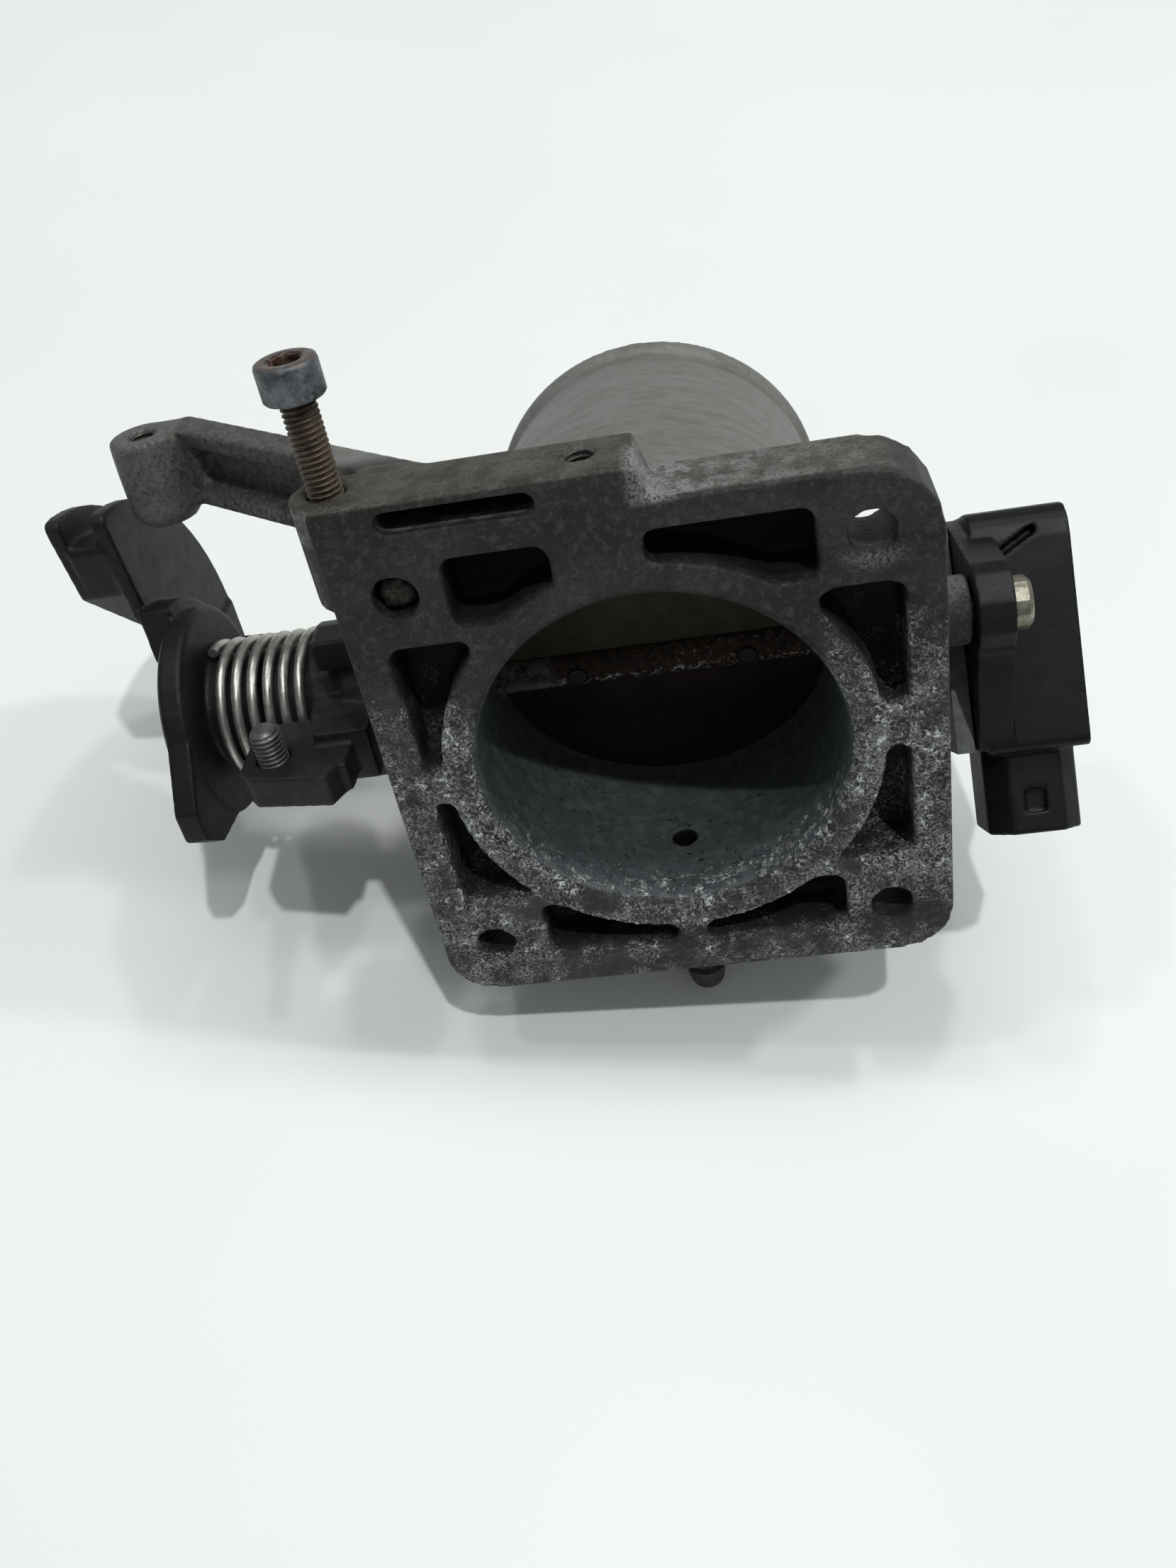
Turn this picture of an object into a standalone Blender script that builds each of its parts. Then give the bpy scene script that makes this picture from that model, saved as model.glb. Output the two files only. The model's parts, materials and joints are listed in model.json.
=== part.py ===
"""A 55 mm cable-operated throttle body, lying on a table as it comes off the engine.

Everything is modelled in the bore frame: X along the throttle shaft with the cable
quadrant at -X and the position sensor at +X, Y along the bore from the inlet flange
to the outlet spout, Z up across the bore.  One empty then lays the whole assembly on
its three lowest points, with the centre of its box's underside at the world origin.
"""

import math

import bmesh
import bpy
from mathutils import Euler, Matrix, Vector

MM = 0.001
GAP = 0.3 * MM
ROUND_SIDES = 32

# Bore and spout
BORE_R = 27.5 * MM
BORE_CHAMFER = 1.4 * MM
BODY_LENGTH = 90.6 * MM
SPOUT_R = 31.4 * MM
SPOUT_NECK_R = 30.2 * MM
BARREL_R = 33.5 * MM
BORE_SIDES = 72

# Inlet flange: the face lies at Y = 0
FLANGE_DEPTH = 11.6 * MM
FLANGE_LEFT = -41.0 * MM
FLANGE_RIGHT = 41.5 * MM
FLANGE_BOTTOM = -42.4 * MM
FLANGE_TOP = 41.4 * MM
LEDGE_TOP = 46.5 * MM
LEDGE_END = 2.6 * MM
POCKET_DEPTH = 9.4 * MM
POCKET_LIMIT = 36.0 * MM
POCKET_TOP = 37.2 * MM
RING_R = 32.6 * MM
BOLT_X = 32.0 * MM
BOLT_Z = 32.5 * MM
BOLT_HOLE_R = 3.2 * MM

# Threaded bosses on the ledge and on the cable bracket arm
M5_HOLE_R = 2.2 * MM
BRACKET_SCREW_X = -39.0 * MM
BRACKET_HOLE_X = -4.6 * MM
BRACKET_HOLE_Y = 6.8 * MM
LEDGE_BOSS_R = 5.3 * MM
ARM_BOSS = (-75.9 * MM, 40.2 * MM)
ARM_BOSS_R = 5.3 * MM
ARM_BOTTOM = 33.8 * MM
ARM_THICKNESS = 5.6 * MM
ARM_RIB = 3.0 * MM

# Throttle shaft and plate
SHAFT_Y = 31.0 * MM
SHAFT_R = 3.5 * MM
SHAFT_LEFT = -84.6 * MM
SHAFT_RIGHT = 53.0 * MM
PLATE_THICKNESS = 2.0 * MM
PLATE_TILT = math.radians(13.0)
PLATE_SCREW_X = 14.0 * MM
BEARING_R = 5.5 * MM
LEFT_BOSS_R = 9.0 * MM
LEFT_BOSS_END = -48.0 * MM
RIGHT_BOSS_R = 13.0 * MM
RIGHT_BOSS_END = 43.6 * MM

# Return spring
SPRING_R = 11.1 * MM
SPRING_WIRE_R = 0.85 * MM
SPRING_TURNS = 6.25
SPRING_START = -57.3 * MM
SPRING_END = -74.1 * MM

# Quadrant
HUB_R = 18.0 * MM
HUB_INNER = -75.3 * MM
HUB_OUTER = -80.0 * MM
PULLEY_INNER = -83.8 * MM
PULLEY_OUTER = -94.0 * MM
PULLEY_R = 37.2 * MM
PULLEY_GROOVE_R = 32.5 * MM
PULLEY_FLANGE = 2.4 * MM
WEB_R = 19.8 * MM
FLANGE_INNER_R = 17.4 * MM
PULLEY_START = math.radians(-3.0)
PULLEY_END = math.radians(88.0)
LUG_TIP = -58.0 * MM

# Stop block and idle stop screw
STOP_SCREW = (-60.5 * MM, 8.4 * MM)
STOP_SCREW_TOP = 9.4 * MM
STOP_SCREW_TIP = -3.9 * MM
STOP_BLOCK_TOP = 4.0 * MM
STOP_BLOCK_BOTTOM = -1.6 * MM

# Throttle position sensor, in its own upright frame before it is turned on the shaft axis
SENSOR_TURN = math.radians(-32.5)
SENSOR_INNER = 46.8 * MM
SENSOR_EAR = 5.4 * MM
SENSOR_OUTER = 63.4 * MM
SENSOR_HALF_WIDTH = 13.4 * MM
SENSOR_TOP = 14.6 * MM
SENSOR_BOTTOM = -22.4 * MM
SENSOR_SCREW_REACH = 19.6 * MM
SENSOR_EAR_R = 7.2 * MM
PLUG_BOTTOM = -35.2 * MM
PIN_X = (52.0 * MM, 55.1 * MM, 58.2 * MM)

# Ports under the barrel
FRONT_PORT_Y = 16.2 * MM
FRONT_PORT_END = 61.07 * MM
PURGE_PORT_Y = 55.0 * MM
PURGE_PORT_END = 49.18 * MM
PURGE_PORT_TURN = math.radians(-37.6)
PORT_TUBE_R = 3.0 * MM
PORT_BORE_R = 2.1 * MM

# How the assembly lies on the table
REST_PITCH = math.radians(-22.0)
REST_LEAN = math.radians(-10.8)

COLOURS = {
    "cast_aluminium": ((0.20, 0.20, 0.19), 0.62, 0.75),
    "black_plastic": ((0.022, 0.023, 0.024), 0.45, 0.0),
    "sensor_plastic": ((0.018, 0.020, 0.022), 0.5, 0.0),
    "spring_steel": ((0.55, 0.54, 0.51), 0.3, 1.0),
    "screw_steel": ((0.30, 0.27, 0.24), 0.45, 0.9),
    "bright_steel": ((0.62, 0.60, 0.56), 0.3, 1.0),
    "brown_brass": ((0.17, 0.12, 0.09), 0.5, 0.7),
    "bronze": ((0.42, 0.29, 0.15), 0.4, 1.0),
    "rubber": ((0.02, 0.02, 0.02), 0.8, 0.0),
    "spacer_plastic": ((0.13, 0.14, 0.125), 0.6, 0.0),
    "board": ((0.05, 0.16, 0.08), 0.5, 0.0),
}


def clear_scene():
    for obj in list(bpy.data.objects):
        bpy.data.objects.remove(obj, do_unlink=True)


def material(name):
    found = bpy.data.materials.get(name)
    if found:
        return found
    made = bpy.data.materials.new(name)
    made.use_nodes = True
    shader = made.node_tree.nodes["Principled BSDF"]
    colour, roughness, metallic = COLOURS[name]
    shader.inputs["Base Color"].default_value = (*colour, 1.0)
    shader.inputs["Roughness"].default_value = roughness
    shader.inputs["Metallic"].default_value = metallic
    return made


# Outlines

def circle(centre, radius, sides=ROUND_SIDES):
    turns = [2 * math.pi * i / sides for i in range(sides)]
    return [(centre[0] + radius * math.cos(t), centre[1] + radius * math.sin(t)) for t in turns]


def arc(centre, radius, start, end, steps):
    turns = [start + (end - start) * i / steps for i in range(steps + 1)]
    return [(centre[0] + radius * math.cos(t), centre[1] + radius * math.sin(t)) for t in turns]


def box_outline(low_a, high_a, low_b, high_b):
    return [(low_a, low_b), (high_a, low_b), (high_a, high_b), (low_a, high_b)]


def rounded(points, radii, steps=4):
    """The outline with each corner replaced by an arc; radii is one radius or one for each corner."""
    if not isinstance(radii, (list, tuple)):
        radii = [radii] * len(points)
    outline = []
    for i, point in enumerate(points):
        here = Vector(point)
        before = Vector(points[i - 1]) - here
        after = Vector(points[(i + 1) % len(points)]) - here
        half = before.angle(after) / 2
        if radii[i] <= 0 or half > math.radians(86):
            outline.append(point)
            continue
        reach = min(radii[i] / math.tan(half), 0.48 * before.length, 0.48 * after.length)
        radius = reach * math.tan(half)
        centre = here + (before.normalized() + after.normalized()).normalized() * radius / math.sin(half)
        start = here + before.normalized() * reach - centre
        end = here + after.normalized() * reach - centre
        sweep = start.angle_signed(end)
        for k in range(steps + 1):
            spoke = Matrix.Rotation(-sweep * k / steps, 2) @ start
            outline.append(tuple(centre + spoke))
    return outline


def outside_ring(low_a, high_a, low_b, high_b, ring_r, steps=7):
    """The part of a rectangle that lies outside a circle about the origin, as an outline."""
    corners = box_outline(low_a, high_a, low_b, high_b)
    outline = []
    crossings = []
    for i, corner in enumerate(corners):
        start = Vector(corner)
        end = Vector(corners[(i + 1) % 4])
        if start.length > ring_r:
            outline.append(tuple(start))
        if (start.length > ring_r) != (end.length > ring_r):
            run = end - start
            b = start.dot(run)
            root = math.sqrt(b * b - run.dot(run) * (start.dot(start) - ring_r**2))
            along = [(-b - root) / run.dot(run), (-b + root) / run.dot(run)]
            share = next(t for t in along if 0 <= t <= 1)
            crossing = start + run * share
            crossings.append((len(outline), crossing))
            outline.append(tuple(crossing))
    (first_at, first), (second_at, second) = crossings
    leaving = (first_at, first, second) if Vector(corners[0]).length > ring_r or first_at > 0 else None
    if leaving is None or second_at != first_at + 1:
        first_at, first, second = second_at, second, first
    start = math.atan2(first.y, first.x)
    sweep = (math.atan2(second.y, second.x) - start + math.pi) % (2 * math.pi) - math.pi
    inner = arc((0, 0), ring_r, start, start + sweep, steps)[1:-1]
    return outline[: first_at + 1] + inner + outline[first_at + 1:]


# Solids

def along(axis, a, b, depth):
    """A point from its place in the outline's plane and its depth along the axis."""
    return {"X": (depth, a, b), "Y": (a, depth, b), "Z": (a, b, depth)}[axis]


def finished(name, shape, finish, parent):
    bmesh.ops.remove_doubles(shape, verts=shape.verts, dist=1e-7)
    bmesh.ops.recalc_face_normals(shape, faces=shape.faces)
    mesh = bpy.data.meshes.new(name)
    shape.to_mesh(mesh)
    shape.free()
    mesh.shade_smooth()
    mesh.set_sharp_from_angle(angle=math.radians(35))
    obj = bpy.data.objects.new(name, mesh)
    bpy.context.scene.collection.objects.link(obj)
    mesh.materials.append(material(finish))
    obj.parent = parent
    return obj


def prism(name, axis, outline, low, high, finish="cast_aluminium", parent=None):
    shape = bmesh.new()
    ring = [shape.verts.new(along(axis, a, b, low)) for a, b in outline]
    face = shape.faces.new(ring)
    grown = bmesh.ops.extrude_face_region(shape, geom=[face])
    moved = [item for item in grown["geom"] if isinstance(item, bmesh.types.BMVert)]
    bmesh.ops.translate(shape, verts=moved, vec=along(axis, 0, 0, high - low))
    return finished(name, shape, finish, parent)


def rod(name, axis, centre, radius, low, high, finish="cast_aluminium", parent=None, sides=ROUND_SIDES):
    return prism(name, axis, circle(centre, radius, sides), low, high, finish, parent)


def turned(name, axis, centre, profile, finish="cast_aluminium", parent=None, sides=ROUND_SIDES):
    """A turned solid from (radius, depth) points.  A profile that ends off the axis closes on itself."""
    shape = bmesh.new()
    rings = []
    for radius, depth in profile:
        if radius == 0:
            rings.append([shape.verts.new(along(axis, *centre, depth))] * sides)
        else:
            ring = circle(centre, radius, sides)
            rings.append([shape.verts.new(along(axis, a, b, depth)) for a, b in ring])
    closed = profile[0][0] > 0 and profile[-1][0] > 0
    pairs = list(zip(rings, rings[1:]))
    if closed:
        pairs.append((rings[-1], rings[0]))
    for one, other in pairs:
        for i in range(sides):
            j = (i + 1) % sides
            corners = [one[i], one[j], other[j], other[i]]
            distinct = list(dict.fromkeys(corners))
            if len(distinct) > 2:
                shape.faces.new(distinct)
    return finished(name, shape, finish, parent)


def combine(target, tool, operation):
    """Joins the tool to the target, or cuts it away, and keeps the tool as a hidden helper."""
    tool.hide_render = True
    tool.display_type = "WIRE"
    if tool.parent is None:
        tool.parent = target.parent
    modifier = target.modifiers.new(tool.name, "BOOLEAN")
    modifier.operation = operation
    modifier.solver = "EXACT"
    modifier.object = tool


def add(target, *tools):
    for tool in tools:
        combine(target, tool, "UNION")


def cut(target, *tools):
    for tool in tools:
        combine(target, tool, "DIFFERENCE")


def turned_about(obj, location, turn, axis):
    """Stands a piece that was made at the origin at its place, turned about one axis."""
    obj.matrix_local = Matrix.Translation(location) @ Matrix.Rotation(turn, 4, axis)


# Housing casting

def flange_outline():
    corners = [
        (FLANGE_LEFT, FLANGE_BOTTOM),
        (FLANGE_RIGHT, FLANGE_BOTTOM),
        (FLANGE_RIGHT, FLANGE_TOP),
        (LEDGE_END + 1.4 * MM, FLANGE_TOP),
        (LEDGE_END, LEDGE_TOP),
        (FLANGE_LEFT, LEDGE_TOP),
    ]
    return rounded(corners, [7.5 * MM, 8.0 * MM, 10.0 * MM, 1.2 * MM, 0.8 * MM, 1.6 * MM])


def barrel_profile():
    return [
        (0, 0.5 * MM),
        (36.5 * MM, 0.5 * MM),
        (36.5 * MM, 11.0 * MM),
        (35.0 * MM, 14.5 * MM),
        (34.0 * MM, 19.0 * MM),
        (BARREL_R, 26.0 * MM),
        (BARREL_R, 48.0 * MM),
        (32.4 * MM, 66.0 * MM),
        (31.0 * MM, 79.0 * MM),
        (SPOUT_NECK_R, 85.0 * MM),
        (SPOUT_NECK_R, 86.4 * MM),
        (SPOUT_R, 87.6 * MM),
        (SPOUT_R, 89.8 * MM),
        (SPOUT_R - 0.8 * MM, BODY_LENGTH),
        (0, BODY_LENGTH),
    ]


def bore_profile():
    mouth = BORE_R + BORE_CHAMFER
    return [
        (0, -1.0 * MM),
        (mouth + 1.0 * MM, -1.0 * MM),
        (mouth, 0),
        (BORE_R, BORE_CHAMFER),
        (BORE_R, BODY_LENGTH + 1.0 * MM),
        (0, BODY_LENGTH + 1.0 * MM),
    ]


def pocket_outlines():
    """The eight weight-saving pockets around the bore, all outside one ring, and the ledge slot."""
    side = POCKET_LIMIT
    boxes = [
        (-25.0 * MM, -10.4 * MM, 26.4 * MM, POCKET_TOP),
        (2.4 * MM, 24.8 * MM, 26.8 * MM, POCKET_TOP),
        (-23.4 * MM, -2.1 * MM, -side, -25.6 * MM),
        (2.6 * MM, 25.0 * MM, -side, -25.6 * MM),
        (-side + 0.6 * MM, -24.0 * MM, 3.0 * MM, 24.4 * MM),
        (-side + 0.6 * MM, -23.6 * MM, -22.8 * MM, -2.8 * MM),
        (24.6 * MM, side, 5.0 * MM, 24.8 * MM),
        (24.6 * MM, side, -22.6 * MM, -2.0 * MM),
    ]
    outlines = [rounded(outside_ring(*box, RING_R), 1.7 * MM, 3) for box in boxes]
    slot = box_outline(-32.0 * MM, -10.6 * MM, 41.9 * MM, 45.0 * MM)
    return outlines + [rounded(slot, 1.5 * MM, 3)]


def arm_outline():
    """The bracket arm from above: a straight bar from behind the ledge out past its boss."""
    start = Vector((-24.0 * MM, 10.4 * MM))
    end = Vector((-69.4 * MM, 45.8 * MM))
    run = (end - start).normalized()
    front = Vector((-run.y, run.x)) * ARM_THICKNESS
    boss_rear = (-78.2 * MM, 44.6 * MM)
    return [tuple(start), tuple(end), boss_rear, (-77.0 * MM, 38.0 * MM), tuple(end + front), tuple(start + front)]


def arm_recess_outline():
    """The shallow pocket along the arm's front face, between its top and bottom ribs."""
    start = Vector((-24.0 * MM, 10.4 * MM))
    end = Vector((-69.4 * MM, 45.8 * MM))
    run = (end - start).normalized()
    front = Vector((-run.y, run.x))
    near = start + run * 19.0 * MM
    far = end - run * 6.4 * MM
    floor = front * (ARM_THICKNESS - ARM_RIB)
    outside = front * (ARM_THICKNESS + 3.0 * MM)
    corners = [near + floor, far + floor, far + outside + run * 2.0 * MM, near + outside - run * 2.0 * MM]
    return [tuple(corner) for corner in corners]


def sensor_screw_centres():
    """Where the two sensor screws stand, in (Y, Z) of the bore frame."""
    reach = SENSOR_SCREW_REACH
    ears = [(-reach * math.cos(SENSOR_TURN), -reach * math.sin(SENSOR_TURN))]
    ears.append((reach * math.cos(SENSOR_TURN), reach * math.sin(SENSOR_TURN)))
    return [(SHAFT_Y + y, z) for y, z in ears]


def port_boss(name, root_r, end_r, low, high):
    return turned(name, "Z", (0, 0), [(0, low), (root_r, low), (end_r, high), (0, high)])


def make_housing(frame):
    axis = (SHAFT_Y, 0)
    housing = prism("throttle_housing", "Y", flange_outline(), 0, FLANGE_DEPTH, parent=frame)
    ledge_boss = (BRACKET_SCREW_X, BRACKET_HOLE_Y)
    add(
        housing,
        turned("barrel", "Y", (0, 0), barrel_profile(), sides=BORE_SIDES),
        rod("left_shaft_boss", "X", axis, LEFT_BOSS_R, LEFT_BOSS_END, -20.0 * MM),
        rod("right_shaft_boss", "X", axis, RIGHT_BOSS_R, 20.0 * MM, RIGHT_BOSS_END),
        rod("ledge_boss", "Z", ledge_boss, LEDGE_BOSS_R, ARM_BOTTOM - 3.4 * MM, LEDGE_TOP - 0.05 * MM),
        prism("arm", "Z", arm_outline(), ARM_BOTTOM, LEDGE_TOP - 0.1 * MM),
        turned("arm_boss", "Z", ARM_BOSS, arm_boss_profile()),
    )
    for i, centre in enumerate(sensor_screw_centres()):
        add(housing, rod(f"sensor_boss_{i}", "X", centre, 5.2 * MM, 26.0 * MM, SENSOR_INNER - GAP))
    add_port_bosses(housing)
    cut(housing, prism("arm_recess", "Z", arm_recess_outline(), ARM_BOTTOM + 3.8 * MM, LEDGE_TOP - 2.6 * MM))
    cut(housing, turned("bore", "Y", (0, 0), bore_profile(), sides=BORE_SIDES))
    for i, outline in enumerate(pocket_outlines()):
        cut(housing, prism(f"pocket_{i}", "Y", outline, -1.0 * MM, POCKET_DEPTH))
    drill_housing(housing)
    return housing


def arm_boss_profile():
    return [
        (0, ARM_BOTTOM - 1.4 * MM),
        (4.6 * MM, ARM_BOTTOM - 1.4 * MM),
        (5.8 * MM, ARM_BOTTOM + 0.6 * MM),
        (5.6 * MM, 41.0 * MM),
        (ARM_BOSS_R, LEDGE_TOP - 0.4 * MM),
        (4.9 * MM, LEDGE_TOP),
        (0, LEDGE_TOP),
    ]


def add_port_bosses(housing):
    front = port_boss("front_port_boss", 8.0 * MM, 6.6 * MM, -30.0 * MM, -45.0 * MM)
    front.location = (0, FRONT_PORT_Y, 0)
    purge = port_boss("purge_port_boss", 7.6 * MM, 6.0 * MM, -30.0 * MM, -38.0 * MM)
    add(housing, front, purge)
    turned_about(purge, (0, PURGE_PORT_Y, 0), -PURGE_PORT_TURN, "Y")


def drill_housing(housing):
    axis = (SHAFT_Y, 0)
    bearing_bore = BEARING_R + GAP
    cut(
        housing,
        rod("left_bearing_bore", "X", axis, bearing_bore, LEFT_BOSS_END - 1 * MM, -34.5 * MM),
        rod("right_bearing_bore", "X", axis, bearing_bore, 30.2 * MM, RIGHT_BOSS_END + 1 * MM),
        rod("shaft_passage", "X", axis, SHAFT_R + 2 * GAP, -40.0 * MM, 40.0 * MM),
    )
    for i, (side_x, side_z) in enumerate([(1, 1), (1, -1), (-1, -1)]):
        place = (side_x * BOLT_X, side_z * BOLT_Z)
        cut(housing, rod(f"bolt_hole_{i}", "Y", place, BOLT_HOLE_R, -1 * MM, FLANGE_DEPTH + 4 * MM))
    cut(housing, rod("blind_bolt_hole", "Y", (-BOLT_X, BOLT_Z), BOLT_HOLE_R, -1 * MM, 6 * MM))
    for name, x, y in (
        ("bracket_screw_hole", BRACKET_SCREW_X, BRACKET_HOLE_Y),
        ("bracket_hole", BRACKET_HOLE_X, BRACKET_HOLE_Y),
        ("arm_boss_hole", *ARM_BOSS),
    ):
        radius = 2.5 * MM + GAP if name == "bracket_screw_hole" else M5_HOLE_R
        cut(housing, rod(name, "Z", (x, y), radius, LEDGE_TOP - 13 * MM, LEDGE_TOP + 1 * MM, sides=20))
    for i, centre in enumerate(sensor_screw_centres()):
        cut(housing, rod(f"sensor_screw_hole_{i}", "X", centre, 2.0 * MM + GAP, 36 * MM, 48 * MM, sides=20))
    socket_r = PORT_TUBE_R + GAP
    front = turned("front_port_hole", "Z", (0, 0), port_hole_profile(socket_r, -36.5 * MM, -46 * MM), sides=20)
    front.location = (0, FRONT_PORT_Y, 0)
    purge = turned("purge_port_hole", "Z", (0, 0), port_hole_profile(socket_r, -35.5 * MM, -39 * MM), sides=20)
    cut(housing, front, purge)
    turned_about(purge, (0, PURGE_PORT_Y, 0), -PURGE_PORT_TURN, "Y")
    notch = prism("side_notch", "X", box_outline(66 * MM, 84 * MM, 6 * MM, 17 * MM), 27.9 * MM, 40 * MM)
    notch_shell = BORE_R + 2.2 * MM
    core = rod("notch_core", "Y", (0, 0), notch_shell, 60 * MM, 90 * MM, sides=BORE_SIDES)
    core.parent = housing.parent
    cut(notch, core)
    cut(housing, notch)


def port_hole_profile(socket_r, shoulder, mouth):
    top = -24.0 * MM
    return [(0, top), (PORT_BORE_R, top), (PORT_BORE_R, shoulder), (socket_r, shoulder), (socket_r, mouth), (0, mouth)]


# Pieces fixed to the housing

def tube_profile(inner_r, outer_r, low, high):
    return [(outer_r, high), (outer_r, low), (inner_r, low), (inner_r, high)]


def nipple_profile(root, end):
    """A hose nipple with one barb near its end, open right through."""
    tip = PORT_TUBE_R - 0.4 * MM
    return [
        (PORT_TUBE_R, root),
        (PORT_TUBE_R, end + 5.0 * MM),
        (PORT_TUBE_R + 0.7 * MM, end + 4.4 * MM),
        (PORT_TUBE_R, end + 0.9 * MM),
        (tip, end),
        (PORT_BORE_R - 0.3 * MM, end),
        (PORT_BORE_R - 0.3 * MM, root),
    ]


def make_ports(frame):
    profile = nipple_profile(-37.0 * MM, -FRONT_PORT_END)
    front = turned("breather_nipple", "Z", (0, 0), profile, "brown_brass", frame, sides=20)
    front.location = (0, FRONT_PORT_Y, 0)
    profile = nipple_profile(-36.0 * MM, -PURGE_PORT_END)
    purge = turned("purge_nipple", "Z", (0, 0), profile, "brown_brass", frame, sides=20)
    turned_about(purge, (0, PURGE_PORT_Y, 0), -PURGE_PORT_TURN, "Y")


def make_bearings(frame):
    axis = (SHAFT_Y, 0)
    inner = SHAFT_R + GAP
    for side, start, sign in (("left", LEFT_BOSS_END, 1), ("right", RIGHT_BOSS_END, -1)):
        ends = sorted((start + sign * 0.4 * MM, start + sign * 9.5 * MM))
        bush = tube_profile(inner, BEARING_R, *ends)
        turned(f"{side}_shaft_bearing", "X", axis, bush, "bronze", frame, sides=24)
        ends = sorted((start + sign * 10.0 * MM, start + sign * 12.8 * MM))
        seal = tube_profile(inner, BEARING_R, *ends)
        turned(f"{side}_shaft_seal", "X", axis, seal, "rubber", frame, sides=24)


def make_stop_block(frame):
    """The black collar round the left shaft boss, with the spring anchor and the idle stop arm."""
    axis = (SHAFT_Y, 0)
    inner = LEFT_BOSS_R + GAP
    profile = [
        (14.6 * MM, -45.0 * MM),
        (14.6 * MM, -50.4 * MM),
        (12.6 * MM, -50.4 * MM),
        (12.6 * MM, -56.2 * MM),
        (9.6 * MM, -56.2 * MM),
        (9.6 * MM, -64.8 * MM),
        (SHAFT_R + 2 * GAP, -64.8 * MM),
        (SHAFT_R + 2 * GAP, LEFT_BOSS_END - 2 * GAP),
        (inner, LEFT_BOSS_END - 2 * GAP),
        (inner, -45.0 * MM),
    ]
    block = turned("stop_block", "X", axis, profile, "black_plastic", frame)
    anchor = prism("spring_anchor", "X", box_outline(19.6 * MM, 26.0 * MM, 11.4 * MM, 16.4 * MM), -53.4 * MM, -46.0 * MM)
    rise = [(4.4, -1.2), (4.4, 3.6), (13.6, 4.4), (15.4, 6.2), (20.0, 6.6), (22.0, 6.0), (22.0, -2.6)]
    neck = prism("stop_neck", "X", [(y * MM, z * MM) for y, z in rise], -55.4 * MM, -48.2 * MM)
    foot = prism("stop_foot", "X", box_outline(10.0 * MM, 22.0 * MM, -3.4 * MM, 6.0 * MM), -54.0 * MM, -45.2 * MM)
    outline = [(-65.4, 5.4), (-63.4, 3.0), (-51.0, 1.2), (-48.4, 6.0), (-50.0, 18.0), (-62.0, 18.0), (-65.4, 16.0)]
    arm = prism("stop_arm", "Z", [(x * MM, y * MM) for x, y in outline], STOP_BLOCK_BOTTOM, STOP_BLOCK_TOP)
    add(block, anchor, neck, foot, arm)
    cut(block, rod("stop_screw_hole", "Z", STOP_SCREW, 2.5 * MM + GAP, -6 * MM, 8 * MM, sides=20))
    inner_clear = rod("collar_clearance", "X", axis, inner, LEFT_BOSS_END - 2 * GAP, -40 * MM)
    cut(block, inner_clear)


def make_screws(frame):
    tip = STOP_SCREW_TIP
    top = STOP_SCREW_TOP
    profile = [
        (0, tip),
        (1.9 * MM, tip),
        (2.5 * MM, tip + 0.7 * MM),
        (2.5 * MM, top - 0.5 * MM),
        (2.0 * MM, top),
        (0, top),
    ]
    turned("idle_stop_screw", "Z", STOP_SCREW, profile, "screw_steel", frame, sides=20)
    head = LEDGE_TOP + 13.2 * MM
    head_top = head + 5.0 * MM
    profile = [
        (0, LEDGE_TOP - 9.0 * MM),
        (2.1 * MM, LEDGE_TOP - 9.0 * MM),
        (2.5 * MM, LEDGE_TOP - 8.3 * MM),
        (2.5 * MM, head),
        (4.25 * MM, head),
        (4.25 * MM, head_top - 0.6 * MM),
        (3.7 * MM, head_top),
        (2.3 * MM, head_top),
        (2.3 * MM, head_top - 2.6 * MM),
        (0, head_top - 2.9 * MM),
    ]
    centre = (BRACKET_SCREW_X, BRACKET_HOLE_Y)
    turned("bracket_screw", "Z", centre, profile, "screw_steel", frame, sides=24)


def make_spring(frame):
    """The return spring's helix, swept with an eight-sided wire."""
    around = 18
    sides = 8
    steps = int(SPRING_TURNS * around)
    shape = bmesh.new()
    rings = []
    for i in range(steps + 1):
        turn = 2 * math.pi * i / around
        x = SPRING_START + (SPRING_END - SPRING_START) * i / steps
        outward = Vector((0, math.cos(turn), math.sin(turn)))
        centre = Vector((x, SHAFT_Y, 0)) + outward * SPRING_R
        ring = []
        for a, b in circle((0, 0), SPRING_WIRE_R, sides):
            ring.append(shape.verts.new(centre + outward * a + Vector((b, 0, 0))))
        rings.append(ring)
    for one, other in zip(rings, rings[1:]):
        for k in range(sides):
            m = (k + 1) % sides
            shape.faces.new([one[k], one[m], other[m], other[k]])
    shape.faces.new(rings[0])
    shape.faces.new(rings[-1])
    finished("return_spring", shape, "spring_steel", frame)


# Throttle position sensor

def sensor_plate_outline():
    """The mounting plate: a round middle with an ear on each side."""
    ear = SENSOR_EAR_R
    reach = SENSOR_SCREW_REACH
    right = arc((reach, 0), ear, math.radians(-75), math.radians(58), 7)
    top = arc((0, 0), SENSOR_TOP, math.radians(66), math.radians(114), 5)
    left = arc((-reach, 0), ear, math.radians(122), math.radians(255), 7)
    half = SENSOR_HALF_WIDTH - 0.7 * MM
    foot = [(-half, SENSOR_BOTTOM + 0.8 * MM), (half, SENSOR_BOTTOM + 0.8 * MM)]
    return right + top + left + foot


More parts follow.
